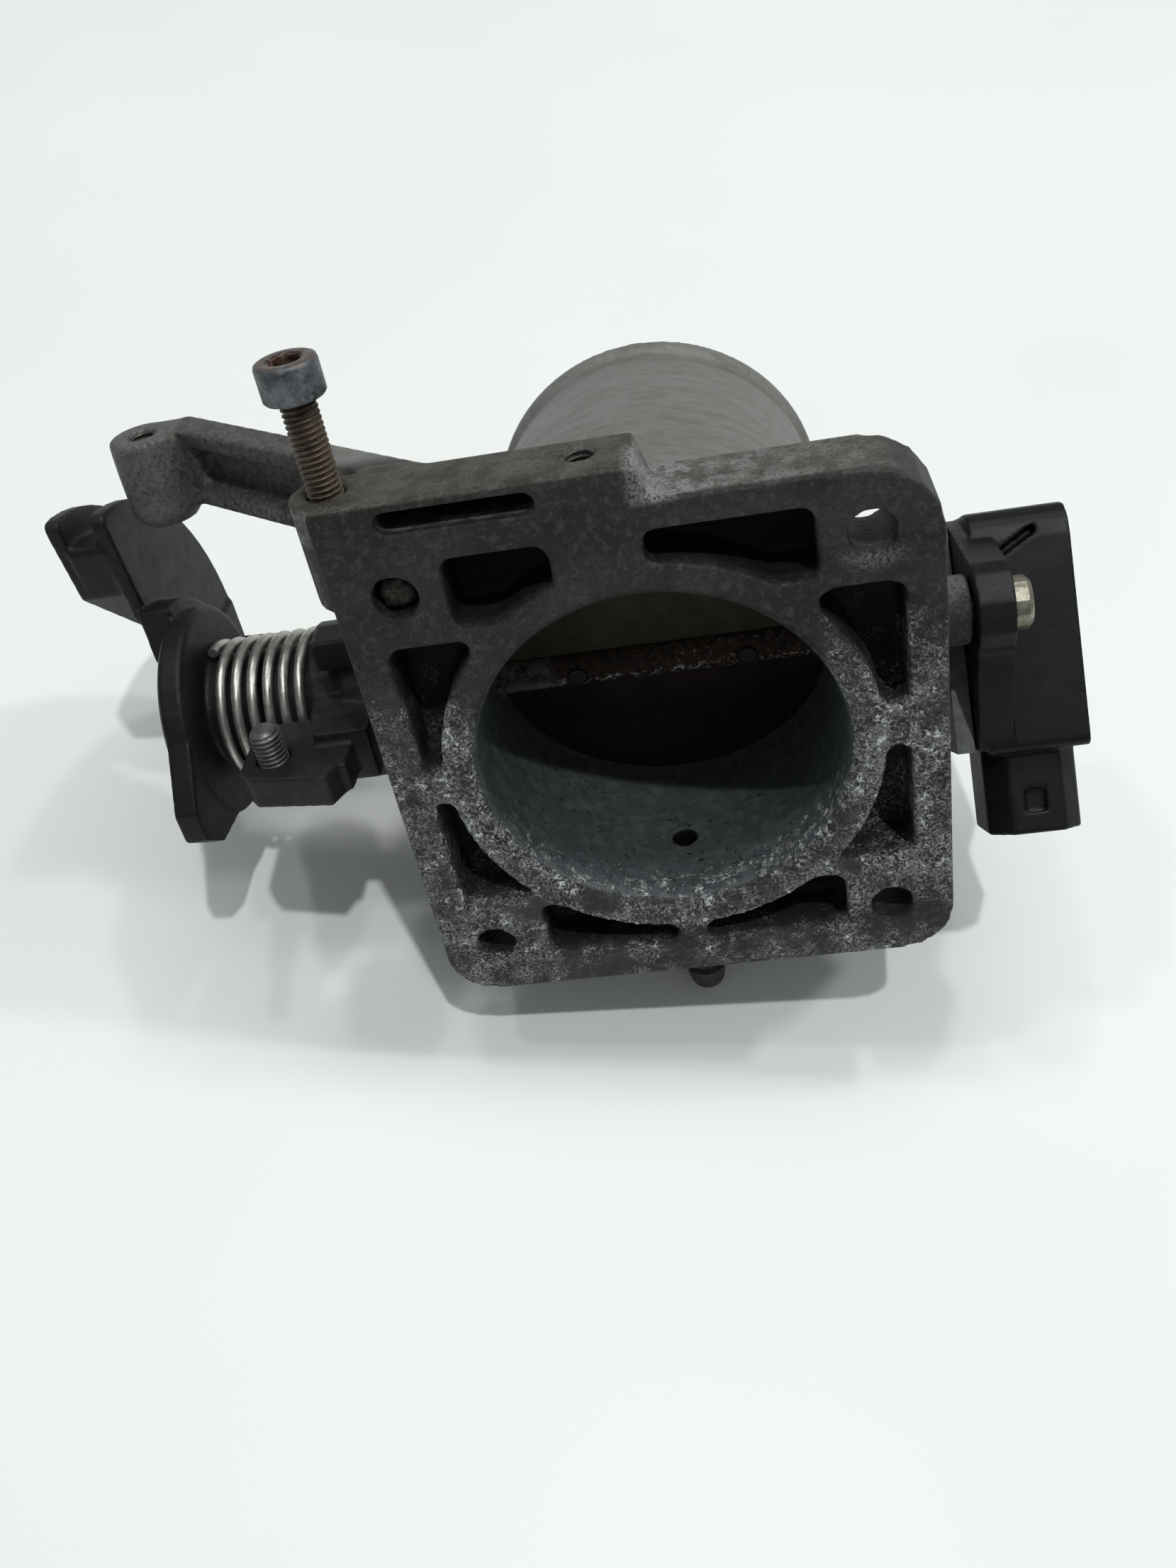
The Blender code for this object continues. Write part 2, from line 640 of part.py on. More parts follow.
def make_sensor(frame):
    body = prism("tps_housing", "X", sensor_plate_outline(), SENSOR_INNER, SENSOR_INNER + SENSOR_EAR,
                 "sensor_plastic", frame)
    half = SENSOR_HALF_WIDTH
    case = rounded(box_outline(-half, half, SENSOR_BOTTOM, SENSOR_TOP), [1.5 * MM, 1.5 * MM, 5 * MM, 5 * MM])
    add(body, prism("sensor_case", "X", case, SENSOR_INNER + 2 * MM, SENSOR_OUTER))
    low_x = SENSOR_INNER + 1.2 * MM
    high_x = SENSOR_OUTER - 1.4 * MM
    plug = [
        (low_x, 5.4 * MM),
        (low_x, -7.4 * MM),
        (low_x + 3.4 * MM, -10.6 * MM),
        (high_x - 3.0 * MM, -10.6 * MM),
        (high_x, -7.4 * MM),
        (high_x, 5.4 * MM),
    ]
    add(body, prism("sensor_plug", "Z", rounded(plug, 0.8 * MM, 2), PLUG_BOTTOM, SENSOR_BOTTOM + 4 * MM))
    socket = rounded(box_outline(SENSOR_INNER + 3.6 * MM, SENSOR_OUTER - 3.8 * MM, -6.6 * MM, 3.4 * MM), 1.0 * MM)
    cut(body, prism("plug_socket", "Z", socket, PLUG_BOTTOM - 2 * MM, -26 * MM))
    for i, x in enumerate(PIN_X):
        seat = box_outline(x - 0.6 * MM, x + 0.6 * MM, -2.2 * MM, -1.0 * MM)
        cut(body, prism(f"pin_seat_{i}", "Z", seat, -27 * MM, -24.4 * MM))
    window = box_outline(53.4 * MM, 56.6 * MM, -32.0 * MM, -28.2 * MM)
    cut(body, prism("latch_window", "Y", window, -12 * MM, -9.6 * MM))
    cut(body, rod("rotor_chamber", "X", (0, 0), 9.6 * MM, SENSOR_INNER - 1 * MM, 57.6 * MM))
    cut(body, prism("board_chamber", "X", rounded(box_outline(-10.4 * MM, 10.4 * MM, -17 * MM, 11.4 * MM), 2 * MM),
                    57.2 * MM, 61.0 * MM))
    cut(body, prism("cover_recess", "X", rounded(box_outline(-11.6 * MM, 11.6 * MM, -20.4 * MM, 12.6 * MM), 3 * MM),
                    60.8 * MM, SENSOR_OUTER + 1 * MM))
    for side in (-1, 1):
        centre = (side * SENSOR_SCREW_REACH, 0)
        cut(body, rod(f"ear_hole_{side}", "X", centre, 2.6 * MM, SENSOR_INNER - 1 * MM, 54 * MM, sides=20))
    cover = rounded(box_outline(-11.3 * MM, 11.3 * MM, -20.1 * MM, 12.3 * MM), 2.8 * MM)
    prism("tps_cover", "X", cover, 61.3 * MM, SENSOR_OUTER - 0.3 * MM, "sensor_plastic", frame)
    board = rounded(box_outline(-10.0 * MM, 10.0 * MM, -16.6 * MM, 11.0 * MM), 1.8 * MM)
    prism("tps_track_board", "X", board, 59.2 * MM, 60.5 * MM, "board", frame)


def make_sensor_fittings(frame):
    spacer = [(-12.4, -4.6), (-12.4, -21.6), (12.4, -21.6), (12.4, -4.6), (8.0, 0.0), (8.0, 13.4), (-8.0, 13.4), (-8.0, 0.0)]
    plate = prism("tps_spacer_plate", "X", [(y * MM, z * MM) for y, z in spacer],
                  RIGHT_BOSS_END + GAP, SENSOR_INNER - GAP, "spacer_plastic", frame)
    cut(plate, rod("spacer_bore", "X", (0, 0), 7.4 * MM, 40 * MM, 50 * MM))
    seal = tube_profile(5.2 * MM, 7.0 * MM, RIGHT_BOSS_END + GAP, SENSOR_INNER - GAP)
    turned("tps_seal", "X", (0, 0), seal, "rubber", frame, sides=24)
    top = SENSOR_INNER + SENSOR_EAR
    head_profile = [
        (0, 37 * MM),
        (2.0 * MM, 37 * MM),
        (2.0 * MM, top + GAP),
        (4.0 * MM, top + GAP),
        (4.0 * MM, top + 2.4 * MM),
        (3.3 * MM, top + 3.1 * MM),
        (0, top + 3.1 * MM),
    ]
    for name, side in (("front", -1), ("rear", 1)):
        centre = (side * SENSOR_SCREW_REACH, 0)
        turned(f"tps_screw_{name}", "X", centre, head_profile, "bright_steel", frame, sides=24)
    for i, x in enumerate(PIN_X):
        pin = box_outline(x - 0.4 * MM, x + 0.4 * MM, -2.0 * MM, -1.2 * MM)
        prism(f"tps_pin_{i + 1}", "Z", pin, -33.5 * MM, -24.6 * MM, "bright_steel", frame)


# Moving pieces, about the shaft axis

def make_shaft(pivot):
    profile = [
        (0, SHAFT_RIGHT),
        (SHAFT_R - 0.4 * MM, SHAFT_RIGHT),
        (SHAFT_R, SHAFT_RIGHT - 0.5 * MM),
        (SHAFT_R, SHAFT_LEFT + 0.5 * MM),
        (SHAFT_R - 0.4 * MM, SHAFT_LEFT),
        (0, SHAFT_LEFT),
    ]
    shaft = turned("throttle_shaft", "X", (0, 0), profile, "screw_steel", pivot, sides=24)
    half = PLATE_THICKNESS / 2 + GAP
    slot = prism("plate_slot", "X", box_outline(-half, half, -6 * MM, 6 * MM), -27.8 * MM, 27.8 * MM)
    cut(shaft, slot)
    slot.parent = pivot
    slot.matrix_local = Matrix.Rotation(PLATE_TILT, 4, "X")
    for i, x in enumerate((-PLATE_SCREW_X, PLATE_SCREW_X)):
        hole = rod(f"shaft_screw_hole_{i}", "Y", (x, 0), 1.5 * MM + GAP, -5 * MM, 5 * MM, sides=16)
        cut(shaft, hole)
        hole.matrix_local = Matrix.Rotation(PLATE_TILT, 4, "X")


def make_plate(pivot):
    """The butterfly: a tilted disc whose rim is the bore's own cylinder, less a running gap."""
    half = PLATE_THICKNESS / 2
    plate = prism("throttle_plate", "Y", circle((0, 0), 30 * MM, 64), -half, half, "brown_brass", pivot)
    plate.matrix_local = Matrix.Rotation(PLATE_TILT, 4, "X")
    rim = rod("plate_rim", "Y", (0, 0), BORE_R - GAP, -20 * MM, 20 * MM, sides=64)
    rim.parent = pivot
    combine(plate, rim, "INTERSECT")
    for i, x in enumerate((-PLATE_SCREW_X, PLATE_SCREW_X)):
        hole = rod(f"plate_screw_hole_{i}", "Y", (x, 0), 1.5 * MM + GAP, -5 * MM, 5 * MM, sides=16)
        cut(plate, hole)
        hole.matrix_local = Matrix.Rotation(PLATE_TILT, 4, "X")
        head = SHAFT_R + GAP
        screw = [(0, -3.3 * MM), (1.5 * MM, -3.3 * MM), (1.5 * MM, head), (2.9 * MM, head),
                 (2.6 * MM, head + 1.5 * MM), (0, head + 1.5 * MM)]
        made = turned(f"plate_screw_{i + 1}", "Y", (x, 0), screw, "screw_steel", pivot, sides=16)
        made.matrix_local = Matrix.Rotation(PLATE_TILT, 4, "X")


def pulley_outline(radius):
    """The cable sector, from its rear end over the top to its front edge, closed by a straight chord."""
    rim = arc((0, 0), radius, PULLEY_START, PULLEY_END, 16)
    outline = rim + [(3.4 * MM, 22.4 * MM), (26.4 * MM, 1.6 * MM)]
    radii = [2.5 * MM] + [0] * (len(rim) - 2) + [4.5 * MM, 1.5 * MM, 1.5 * MM]
    return rounded(outline, radii)


def inner_flange_outline():
    """The sector's inner cheek, which runs on inwards to the hub."""
    rim = arc((0, 0), PULLEY_R, PULLEY_START, PULLEY_END, 16)
    foot = arc((0, 0), FLANGE_INNER_R, math.radians(80), PULLEY_START, 6)
    radii = [2.5 * MM] + [0] * (len(rim) - 2) + [4.5 * MM] + [0] * len(foot)
    return rounded(rim + foot, radii)


def make_quadrant(pivot):
    bore = SHAFT_R + GAP
    hub_profile = [
        (HUB_R - 0.6 * MM, HUB_INNER),
        (HUB_R, HUB_INNER - 0.6 * MM),
        (HUB_R, HUB_OUTER + 0.8 * MM),
        (HUB_R - 1.2 * MM, HUB_OUTER),
        (9.2 * MM, HUB_OUTER),
        (9.2 * MM, HUB_OUTER + 2.4 * MM),
        (bore, HUB_OUTER + 2.4 * MM),
        (bore, -66.0 * MM),
        (9.4 * MM, -66.0 * MM),
        (9.4 * MM, HUB_INNER),
    ]
    quadrant = turned("quadrant", "X", (0, 0), hub_profile, "black_plastic", pivot, sides=48)
    groove_in = PULLEY_INNER - PULLEY_FLANGE
    groove_out = PULLEY_OUTER + PULLEY_FLANGE
    outer = pulley_outline(PULLEY_R)
    core = pulley_outline(PULLEY_GROOVE_R)
    web = arc((0, 0), WEB_R, PULLEY_START, PULLEY_END, 14) + arc((0, 0), 10.4 * MM, PULLEY_END, PULLEY_START, 8)
    add(
        quadrant,
        prism("pulley_inner_flange", "X", inner_flange_outline(), groove_in, PULLEY_INNER),
        prism("pulley_core", "X", core, groove_out - 0.4 * MM, groove_in + 0.4 * MM),
        prism("pulley_outer_flange", "X", outer, PULLEY_OUTER, groove_out),
        prism("pulley_web", "X", web, PULLEY_INNER - 0.6 * MM, HUB_OUTER + 1.2 * MM),
    )
    add(quadrant, *make_lug(), *make_full_stop())
    cable_seat = rod("cable_end_seat", "X", (33.0 * MM, 3.4 * MM), 3.0 * MM, PULLEY_OUTER - 1 * MM, groove_in + 0.6 * MM)
    cut(quadrant, cable_seat, rod("hub_bore", "X", (0, 0), bore, -100 * MM, -60 * MM, sides=24))


def make_lug():
    """The idle stop lug: a curved shell that sweeps down from the disc and in under the stop block."""
    section = [(-24.6, -4.2), (-24.6, -10.6), (-20.6, -14.6), (-15.0, -17.0), (-12.0, -12.0), (-14.0, -4.2)]
    finger = prism("lug_finger", "X", [(y * MM, z * MM) for y, z in section], HUB_OUTER + 0.3 * MM, LUG_TIP)
    sweep = [(-79.9, -2.0), (-79.2, -6.6), (-77.4, -10.2), (-74.4, -12.8), (-70.4, -14.6), (-64.0, -16.4), (-57.0, -17.6),
             (-57.0, -2.0)]
    side = prism("lug_sweep", "Y", [(x * MM, z * MM) for x, z in sweep], -30 * MM, -8 * MM)
    side.parent = finger.parent
    combine(finger, side, "INTERSECT")
    web = [(-17.4, 5.0), (-24.4, -4.0), (-24.4, -9.4), (-19.0, -13.8), (-8, -15.0), (-8, 4.0)]
    cheek = prism("lug_web", "X", [(y * MM, z * MM) for y, z in web], HUB_OUTER + 0.6 * MM, HUB_INNER - 0.2 * MM)
    return cheek, finger


def make_full_stop():
    """The bar that slants from the sector's rear end in towards the housing."""
    slant = [(-85.0, 36.0), (-83.6, 31.0), (-81.8, 28.2), (-66.0, 26.6), (-59.0, 24.0), (-59.0, 20.0), (-80.5, 20.4),
             (-86.4, 24.0)]
    root = box_outline(26.0 * MM, 36.4 * MM, -6.0 * MM, 2.4 * MM)
    return (
        prism("full_stop_root", "X", root, PULLEY_INNER - 3.2 * MM, PULLEY_INNER + 0.7 * MM),
        prism("full_stop_bar", "Z", [(x * MM, y * MM) for x, y in slant], -6.4 * MM, -1.2 * MM),
    )


def make_shaft_fittings(pivot):
    bore = SHAFT_R + GAP
    washer = tube_profile(bore, 7.6 * MM, HUB_OUTER + 0.9 * MM, HUB_OUTER + 2.1 * MM)
    turned("quadrant_washer", "X", (0, 0), washer, "bright_steel", pivot, sides=24)
    nut = prism("quadrant_nut", "X", circle((0, 0), 6.2 * MM, 6), HUB_OUTER - 3.6 * MM, HUB_OUTER + 0.6 * MM,
                "bright_steel", pivot)
    cut(nut, rod("nut_bore", "X", (0, 0), bore, -99 * MM, -70 * MM, sides=24))
    rotor = tube_profile(bore, 8.6 * MM, 48.0 * MM, 56.6 * MM)
    turned("tps_rotor", "X", (0, 0), rotor, "spacer_plastic", pivot, sides=24)


# Assembly

def empty(name, parent=None, location=(0, 0, 0)):
    made = bpy.data.objects.new(name, None)
    bpy.context.scene.collection.objects.link(made)
    made.parent = parent
    made.location = location
    return made


def lay_on_table(frame):
    """Turns the assembly to its resting pose, lowest point at Z = 0, box centred on X and Y."""
    frame.rotation_mode = "YXZ"
    frame.rotation_euler = Euler((REST_PITCH, REST_LEAN, 0), "YXZ")
    bpy.context.view_layer.update()
    graph = bpy.context.evaluated_depsgraph_get()
    low = Vector((math.inf,) * 3)
    high = -low
    for obj in bpy.context.scene.objects:
        if obj.type != "MESH" or obj.hide_render:
            continue
        solid = obj.evaluated_get(graph)
        for vertex in solid.data.vertices:
            place = solid.matrix_world @ vertex.co
            low = Vector(map(min, low, place))
            high = Vector(map(max, high, place))
    middle = (low + high) / 2
    frame.location = (-middle.x, -middle.y, -low.z)
    bpy.context.view_layer.update()


def main():
    clear_scene()
    frame = empty("bore_frame")
    pivot = empty("throttle_pivot", frame, (0, SHAFT_Y, 0))
    sensor = empty("sensor_frame", frame, (0, SHAFT_Y, 0))
    sensor.rotation_euler = (SENSOR_TURN, 0, 0)
    make_housing(frame)
    make_ports(frame)
    make_bearings(frame)
    make_stop_block(frame)
    make_screws(frame)
    make_spring(frame)
    make_sensor(sensor)
    make_sensor_fittings(sensor)
    make_shaft(pivot)
    make_plate(pivot)
    make_quadrant(pivot)
    make_shaft_fittings(pivot)
    lay_on_table(frame)


main()
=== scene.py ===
"""A weathered throttle body lying on a pale table.

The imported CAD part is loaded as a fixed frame.  Cast and moulded nodes are replaced by
softened copies with round edges, threads and the spring get their real helices, and
every surface gets a procedural material.  Sizes are in the bore frame, in millimetres:
X along the throttle shaft, Y along the bore away from the inlet flange, Z across it.
"""

import json
import math

import bmesh
import bpy
from mathutils import Matrix, Vector


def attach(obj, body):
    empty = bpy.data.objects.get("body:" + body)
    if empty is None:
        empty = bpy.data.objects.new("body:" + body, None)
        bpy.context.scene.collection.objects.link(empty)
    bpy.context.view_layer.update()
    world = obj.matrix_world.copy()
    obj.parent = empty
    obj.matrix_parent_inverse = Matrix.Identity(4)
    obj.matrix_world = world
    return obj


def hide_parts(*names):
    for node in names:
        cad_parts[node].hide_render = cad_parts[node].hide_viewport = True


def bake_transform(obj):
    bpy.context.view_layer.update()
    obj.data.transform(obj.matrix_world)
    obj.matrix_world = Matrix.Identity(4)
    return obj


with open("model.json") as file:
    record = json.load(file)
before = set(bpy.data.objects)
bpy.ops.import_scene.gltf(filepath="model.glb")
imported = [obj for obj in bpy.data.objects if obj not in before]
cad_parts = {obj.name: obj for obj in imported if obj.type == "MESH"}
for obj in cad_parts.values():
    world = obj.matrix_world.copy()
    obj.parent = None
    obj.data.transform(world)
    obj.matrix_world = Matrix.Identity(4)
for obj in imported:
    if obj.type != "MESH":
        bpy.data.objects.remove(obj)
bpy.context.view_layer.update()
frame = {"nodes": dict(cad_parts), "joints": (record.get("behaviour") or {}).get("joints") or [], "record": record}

MM = 0.001
FULL_TURN = 2 * math.pi

# Camera: the focal length and the image's height are in pixels of the full image
FOCAL_LENGTH = 1900
IMAGE_HEIGHT = 2212
FILM_HEIGHT = 36.0
CAMERA_SPOT = (14.9, -159.5, 115.9)
CAMERA_RIGHT = (0.984, 0.035, -0.173)
CAMERA_FORWARD = (-0.132, 0.797, -0.59)

# Light: each lamp's name, place in metres, width and height in metres, and watts
ROOM_DARK = 0.08
ROOM_BRIGHT = 0.33
ROOM_COLOUR = (0.94, 1.0, 0.99, 1.0)
LAMP_COLOUR = (0.99, 1.0, 0.985)
LAMP_AIM = (0, 0, 0.03)
LAMPS = (
    ("lamp_overhead", (0.22, -0.26, 1.98), 0.05, 0.05, 13.0),
    ("lamp_right", (1.25, 0.42, 1.50), 0.12, 0.12, 7.0),
    ("lamp_left", (-0.85, 0.25, 1.80), 0.12, 0.12, 3.3),
    ("lamp_back_left", (-0.45, 0.70, 1.90), 0.12, 0.12, 3.0),
    ("lamp_back_right", (0.55, 0.75, 1.85), 0.12, 0.12, 4.2),
    ("panel_behind", (0.12, 0.80, 1.9), 1.2, 0.26, 7.6),
)

# Places on the part, in the bore frame; a pair is the X and Y of an axis along Z
SHAFT_Y = 31.0
BOLT_X = 32.0
BOLT_Z = 32.5
PORT_Y = 16.2
LEDGE_SCREW = (-39.0, 6.8)
LEDGE_HOLE = (-4.6, 6.8)
ARM_HOLE = (-75.9, 40.2)
IDLE_SCREW = (-60.5, 8.4)
SENSOR_TURN = math.radians(-32.5)

# M5 thread
PITCH = 0.8
TAPPED_RADIUS = 2.0
TAPPED_CREST = 0.19
TAPPED_TURNS = 6

# Return spring
SPRING_TURNS = 6.25
SPRING_START = -57.3
SPRING_END = -74.1
SPRING_RADIUS = 11.1
WIRE_RADIUS = 0.86


# Bore frame

def bore_frame():
    """The bore frame's matrix in metres, from the shaft's joint and the inlet flange's mount."""
    joint = next(j for j in frame["joints"] if j["name"] == "throttle_turn")
    mount = next(m for m in frame["record"]["mounts"] if m["name"] == "inlet_flange")
    x_axis = Vector(joint["axis"]).normalized()
    y_axis = -Vector(mount["axis"]).normalized()
    z_axis = x_axis.cross(y_axis).normalized()
    turn = Matrix((x_axis, y_axis, z_axis)).transposed().to_4x4()
    origin = Vector(joint["pos_m"]) - y_axis * SHAFT_Y * MM
    return Matrix.Translation(origin) @ turn


BORE = bore_frame()
TO_BORE = BORE.inverted()


def place(x, y, z):
    """World position in metres of a bore-frame point in millimetres."""
    return BORE @ (Vector((x, y, z)) * MM)


def place_round(centre, reach, turn, z):
    """World position of a point at a reach and turn about an axis along bore Z."""
    return place(centre[0] + reach * math.cos(turn), centre[1] + reach * math.sin(turn), z)


def direction(x, y, z):
    return (BORE.to_3x3() @ Vector((x, y, z))).normalized()


# Camera, lights and table

def add_camera():
    data = bpy.data.cameras.new("camera")
    data.sensor_fit = "VERTICAL"
    data.sensor_height = FILM_HEIGHT
    data.lens = FILM_HEIGHT * FOCAL_LENGTH / IMAGE_HEIGHT
    data.clip_start = 0.01
    camera = bpy.data.objects.new("camera", data)
    bpy.context.scene.collection.objects.link(camera)
    forward = direction(*CAMERA_FORWARD)
    up = direction(*CAMERA_RIGHT).cross(forward).normalized()
    right = forward.cross(up).normalized()
    turn = Matrix((right, up, -forward)).transposed().to_4x4()
    camera.matrix_world = Matrix.Translation(place(*CAMERA_SPOT)) @ turn
    bpy.context.scene.camera = camera


def add_lamp(name, centre, width, height, watts):
    data = bpy.data.lights.new(name, "AREA")
    data.shape = "RECTANGLE"
    data.size = width
    data.size_y = height
    data.energy = watts
    data.color = LAMP_COLOUR
    lamp = bpy.data.objects.new(name, data)
    lamp.location = centre
    aim = Vector(LAMP_AIM) - Vector(centre)
    lamp.rotation_euler = aim.to_track_quat("-Z", "Y").to_euler()
    bpy.context.scene.collection.objects.link(lamp)


def add_room():
    """A surrounding that is dark below the horizon and brighter towards the ceiling."""
    world = bpy.data.worlds.new("room")
    world.use_nodes = True
    nodes = world.node_tree.nodes
    links = world.node_tree.links
    sky = nodes["Background"]
    facing = nodes.new("ShaderNodeTexCoord")
    split = nodes.new("ShaderNodeSeparateXYZ")
    links.new(facing.outputs["Generated"], split.inputs[0])
    height = nodes.new("ShaderNodeMapRange")
    links.new(split.outputs[2], height.inputs["Value"])
    height.inputs["From Min"].default_value = -0.1
    height.inputs["To Min"].default_value = ROOM_DARK
    height.inputs["To Max"].default_value = ROOM_BRIGHT
    links.new(height.outputs[0], sky.inputs["Strength"])
    sky.inputs["Color"].default_value = ROOM_COLOUR
    bpy.context.scene.world = world
    view = bpy.context.scene.view_settings
    view.view_transform = "Standard"
    view.look = "None"
    view.exposure = 0.0


def add_table():
    bpy.ops.mesh.primitive_plane_add(size=4.0, location=(0, 0.6, -0.0002))
    table = bpy.context.object
    table.name = "table"
    table.data.materials.append(table_material())


# Shader helpers

class Graph:
    """A material's node tree, with short calls for the nodes used here."""

    def __init__(self, name):
        self.material = bpy.data.materials.new(name)
        self.material.use_nodes = True
        self.tree = self.material.node_tree
        self.shader = self.tree.nodes["Principled BSDF"]
        self.position = None

    def node(self, kind, props=None, **inputs):
        """A new node; an input named _0 or _1 is given by its number."""
        made = self.tree.nodes.new(kind)
        for key, value in (props or {}).items():
            setattr(made, key, value)
        for key, value in inputs.items():
            numbered = key[0] == "_" and key[1:].isdigit()
            self.feed(made.inputs[int(key[1:]) if numbered else key], value)
        return made

    def feed(self, socket, value):
        if isinstance(value, bpy.types.NodeSocket):
            self.tree.links.new(value, socket)
        else:
            socket.default_value = value

    def bore(self):
        """Position in the bore frame, in metres."""
        if self.position is None:
            point = self.node("ShaderNodeTexCoord").outputs["Object"]
            mapping = self.node("ShaderNodeMapping", {"vector_type": "TEXTURE"}, Vector=point)
            mapping.inputs["Location"].default_value = BORE.to_translation()
            mapping.inputs["Rotation"].default_value = BORE.to_euler("XYZ")
            self.position = mapping.outputs[0]
        return self.position

    def axes(self):
        split = self.node("ShaderNodeSeparateXYZ", Vector=self.bore())
        return split.outputs[0], split.outputs[1], split.outputs[2]

    def math(self, operation, a, b=0.0, clamp=False):
        props = {"operation": operation, "use_clamp": clamp}
        return self.node("ShaderNodeMath", props, _0=a, _1=b).outputs[0]

    def chain(self, operation, values):
        total = values[0]
        for value in values[1:]:
            total = self.math(operation, total, value)
        return total

    def plus(self, *values):
        return self.chain("ADD", values)

    def times(self, *values):
        return self.chain("MULTIPLY", values)

    def minus(self, a, b):
        return self.math("SUBTRACT", a, b)

    def larger(self, a, b):
        return self.math("MAXIMUM", a, b)

    def absolute(self, value):
        return self.math("ABSOLUTE", value)

    def reach(self, a, b):
        """Distance from the origin of the plane with coordinates a and b."""
        return self.math("SQRT", self.plus(self.times(a, a), self.times(b, b)))

    def ramp(self, value, low, high, out_low=0.0, out_high=1.0):
        """A smooth step from out_low at low to out_high at high."""
        made = self.node("ShaderNodeMapRange", {"interpolation_type": "SMOOTHSTEP"}, Value=value)
        made.inputs["From Min"].default_value = low
        made.inputs["From Max"].default_value = high
        made.inputs["To Min"].default_value = out_low
        made.inputs["To Max"].default_value = out_high
        return made.outputs[0]

    def span(self, value, low, high, out_low=0.0, out_high=1.0):
        """A ramp over a length, with its two limits in millimetres."""
        return self.ramp(value, low * MM, high * MM, out_low, out_high)

    def noise(self, size, detail=6.0, roughness=0.6, distortion=0.0, vector=None):
        """Noise whose features are about size millimetres across."""
        vector = vector or self.bore()
        made = self.node("ShaderNodeTexNoise", Vector=vector, Scale=1.0 / (size * MM))
        made.inputs["Detail"].default_value = detail
        made.inputs["Roughness"].default_value = roughness
        made.inputs["Distortion"].default_value = distortion
        return made.outputs[0]

    def patches(self, low, high, *noise):
        """Noise made into patches: none below low, full above high."""
        return self.ramp(self.noise(*noise), low, high)

    def mix(self, factor, a, b):
        made = self.node("ShaderNodeMix", {"data_type": "RGBA"})
        self.feed(made.inputs[0], factor)
        for socket, colour in ((made.inputs[6], a), (made.inputs[7], b)):
            self.feed(socket, (*colour, 1.0) if isinstance(colour, tuple) else colour)
        return made.outputs[2]

    def bump(self, height, strength, distance, before=None):
        made = self.node("ShaderNodeBump", Height=height)
        made.inputs["Strength"].default_value = strength
        made.inputs["Distance"].default_value = distance * MM
        if before is not None:
            self.feed(made.inputs["Normal"], before)
        return made.outputs[0]

    def finish(self, colour, roughness, metallic, normal, specular=None):
        self.feed(self.shader.inputs["Base Color"], colour)
        self.feed(self.shader.inputs["Roughness"], roughness)
        self.feed(self.shader.inputs["Metallic"], metallic)
        self.feed(self.shader.inputs["Normal"], normal)
        if specular is not None:
            self.feed(self.shader.inputs["Specular IOR Level"], specular)
        return self.material


# The casting's material

class CastMasks:
    """Where on the casting a point lies, with the noises that several of its looks share."""

    def __init__(self, g):
        x, y, z = g.axes()
        self.x, self.y, self.z = x, y, z
        self.radius = g.reach(x, z)
        self.fine = g.noise(0.5, 6.0, 0.7)
        self.speck = g.noise(0.9, 9.0, 0.76, 0.8)
        self.streak = g.patches(0.36, 0.66, 2.4, 8.0, 0.70, 0.3)
        self.on_face = g.span(y, 1.9, 0.8)
        self.in_bore = g.times(g.span(self.radius, 28.0, 27.8), g.span(y, 0.9, 1.6))
        self.barrel = g.times(g.span(y, 12, 18), g.span(self.radius, 29, 30))
        self.pits = g.times(g.patches(0.42, 0.36, 0.9, 5.0, 0.66, 0.6),
                            g.patches(0.44, 0.56, 4.0, 3.0, 0.5))
        self.hole_z = g.minus(z, BOLT_Z * MM)
        self.hole_radius = g.reach(g.minus(x, BOLT_X * MM), self.hole_z)
        self.bolt_hole = g.times(g.span(self.hole_radius, 3.9, 3.5), g.span(y, 1.0, 1.8))
        # Turning marks along the bolt hole, 1.2 mm apart
        self.rings = g.ramp(g.math("SINE", g.times(y, 5200.0)), -0.4, 0.9)


def crust_cover(g, m):
    """How much of the surface the pale crust covers, from 0 to about 1."""
    low = g.times(g.span(m.z, 20, -4), 0.24)
    left = g.times(g.span(m.x, -18, -30), g.span(m.z, 24, 8), 0.24)
    right = g.times(g.span(m.x, 18, 32), g.span(m.z, 32, 12), 0.34)
    lip = g.times(g.span(m.radius, 37, 30), g.span(m.z, 26, 4), 0.12)
    blotch = g.times(g.minus(g.noise(5.5, 6.0, 0.66), 0.485), 3.0)
    ring_edge = g.span(g.absolute(g.minus(m.radius, 32.2 * MM)), 1.3, 0.3)
    frame_edge = g.span(g.absolute(g.minus(g.absolute(m.x), 36.2 * MM)), 1.4, 0.3)
    edges = g.larger(ring_edge, g.times(frame_edge, 0.6))
    edges = g.times(edges, g.span(m.z, 22, 6), 0.28)
    rim = g.times(g.span(m.radius, 29.9, 29.2), g.span(m.z, 14, -6), 0.14)
    corner = g.times(g.span(m.x, 22, 38), g.span(m.z, -24, -36), 0.42)
    above = g.span(m.z, 12, 26, 0.0, 0.30)
    cover = g.minus(g.plus(low, left, right, lip, blotch, edges, rim), g.plus(corner, above))
    cover = g.times(cover, g.plus(g.times(m.on_face, 0.5), 0.5))

    near_lip = g.times(g.span(m.y, 12, 1.5), g.span(m.z, -2, -16))
    clumps = g.times(g.minus(g.noise(1.9, 6.0, 0.7), 0.53), 8.5)
    cover = g.mix(m.in_bore, cover, g.times(near_lip, g.plus(clumps, 0.72)))
    return g.larger(g.minus(cover, g.times(m.barrel, 0.25)), 0.0)


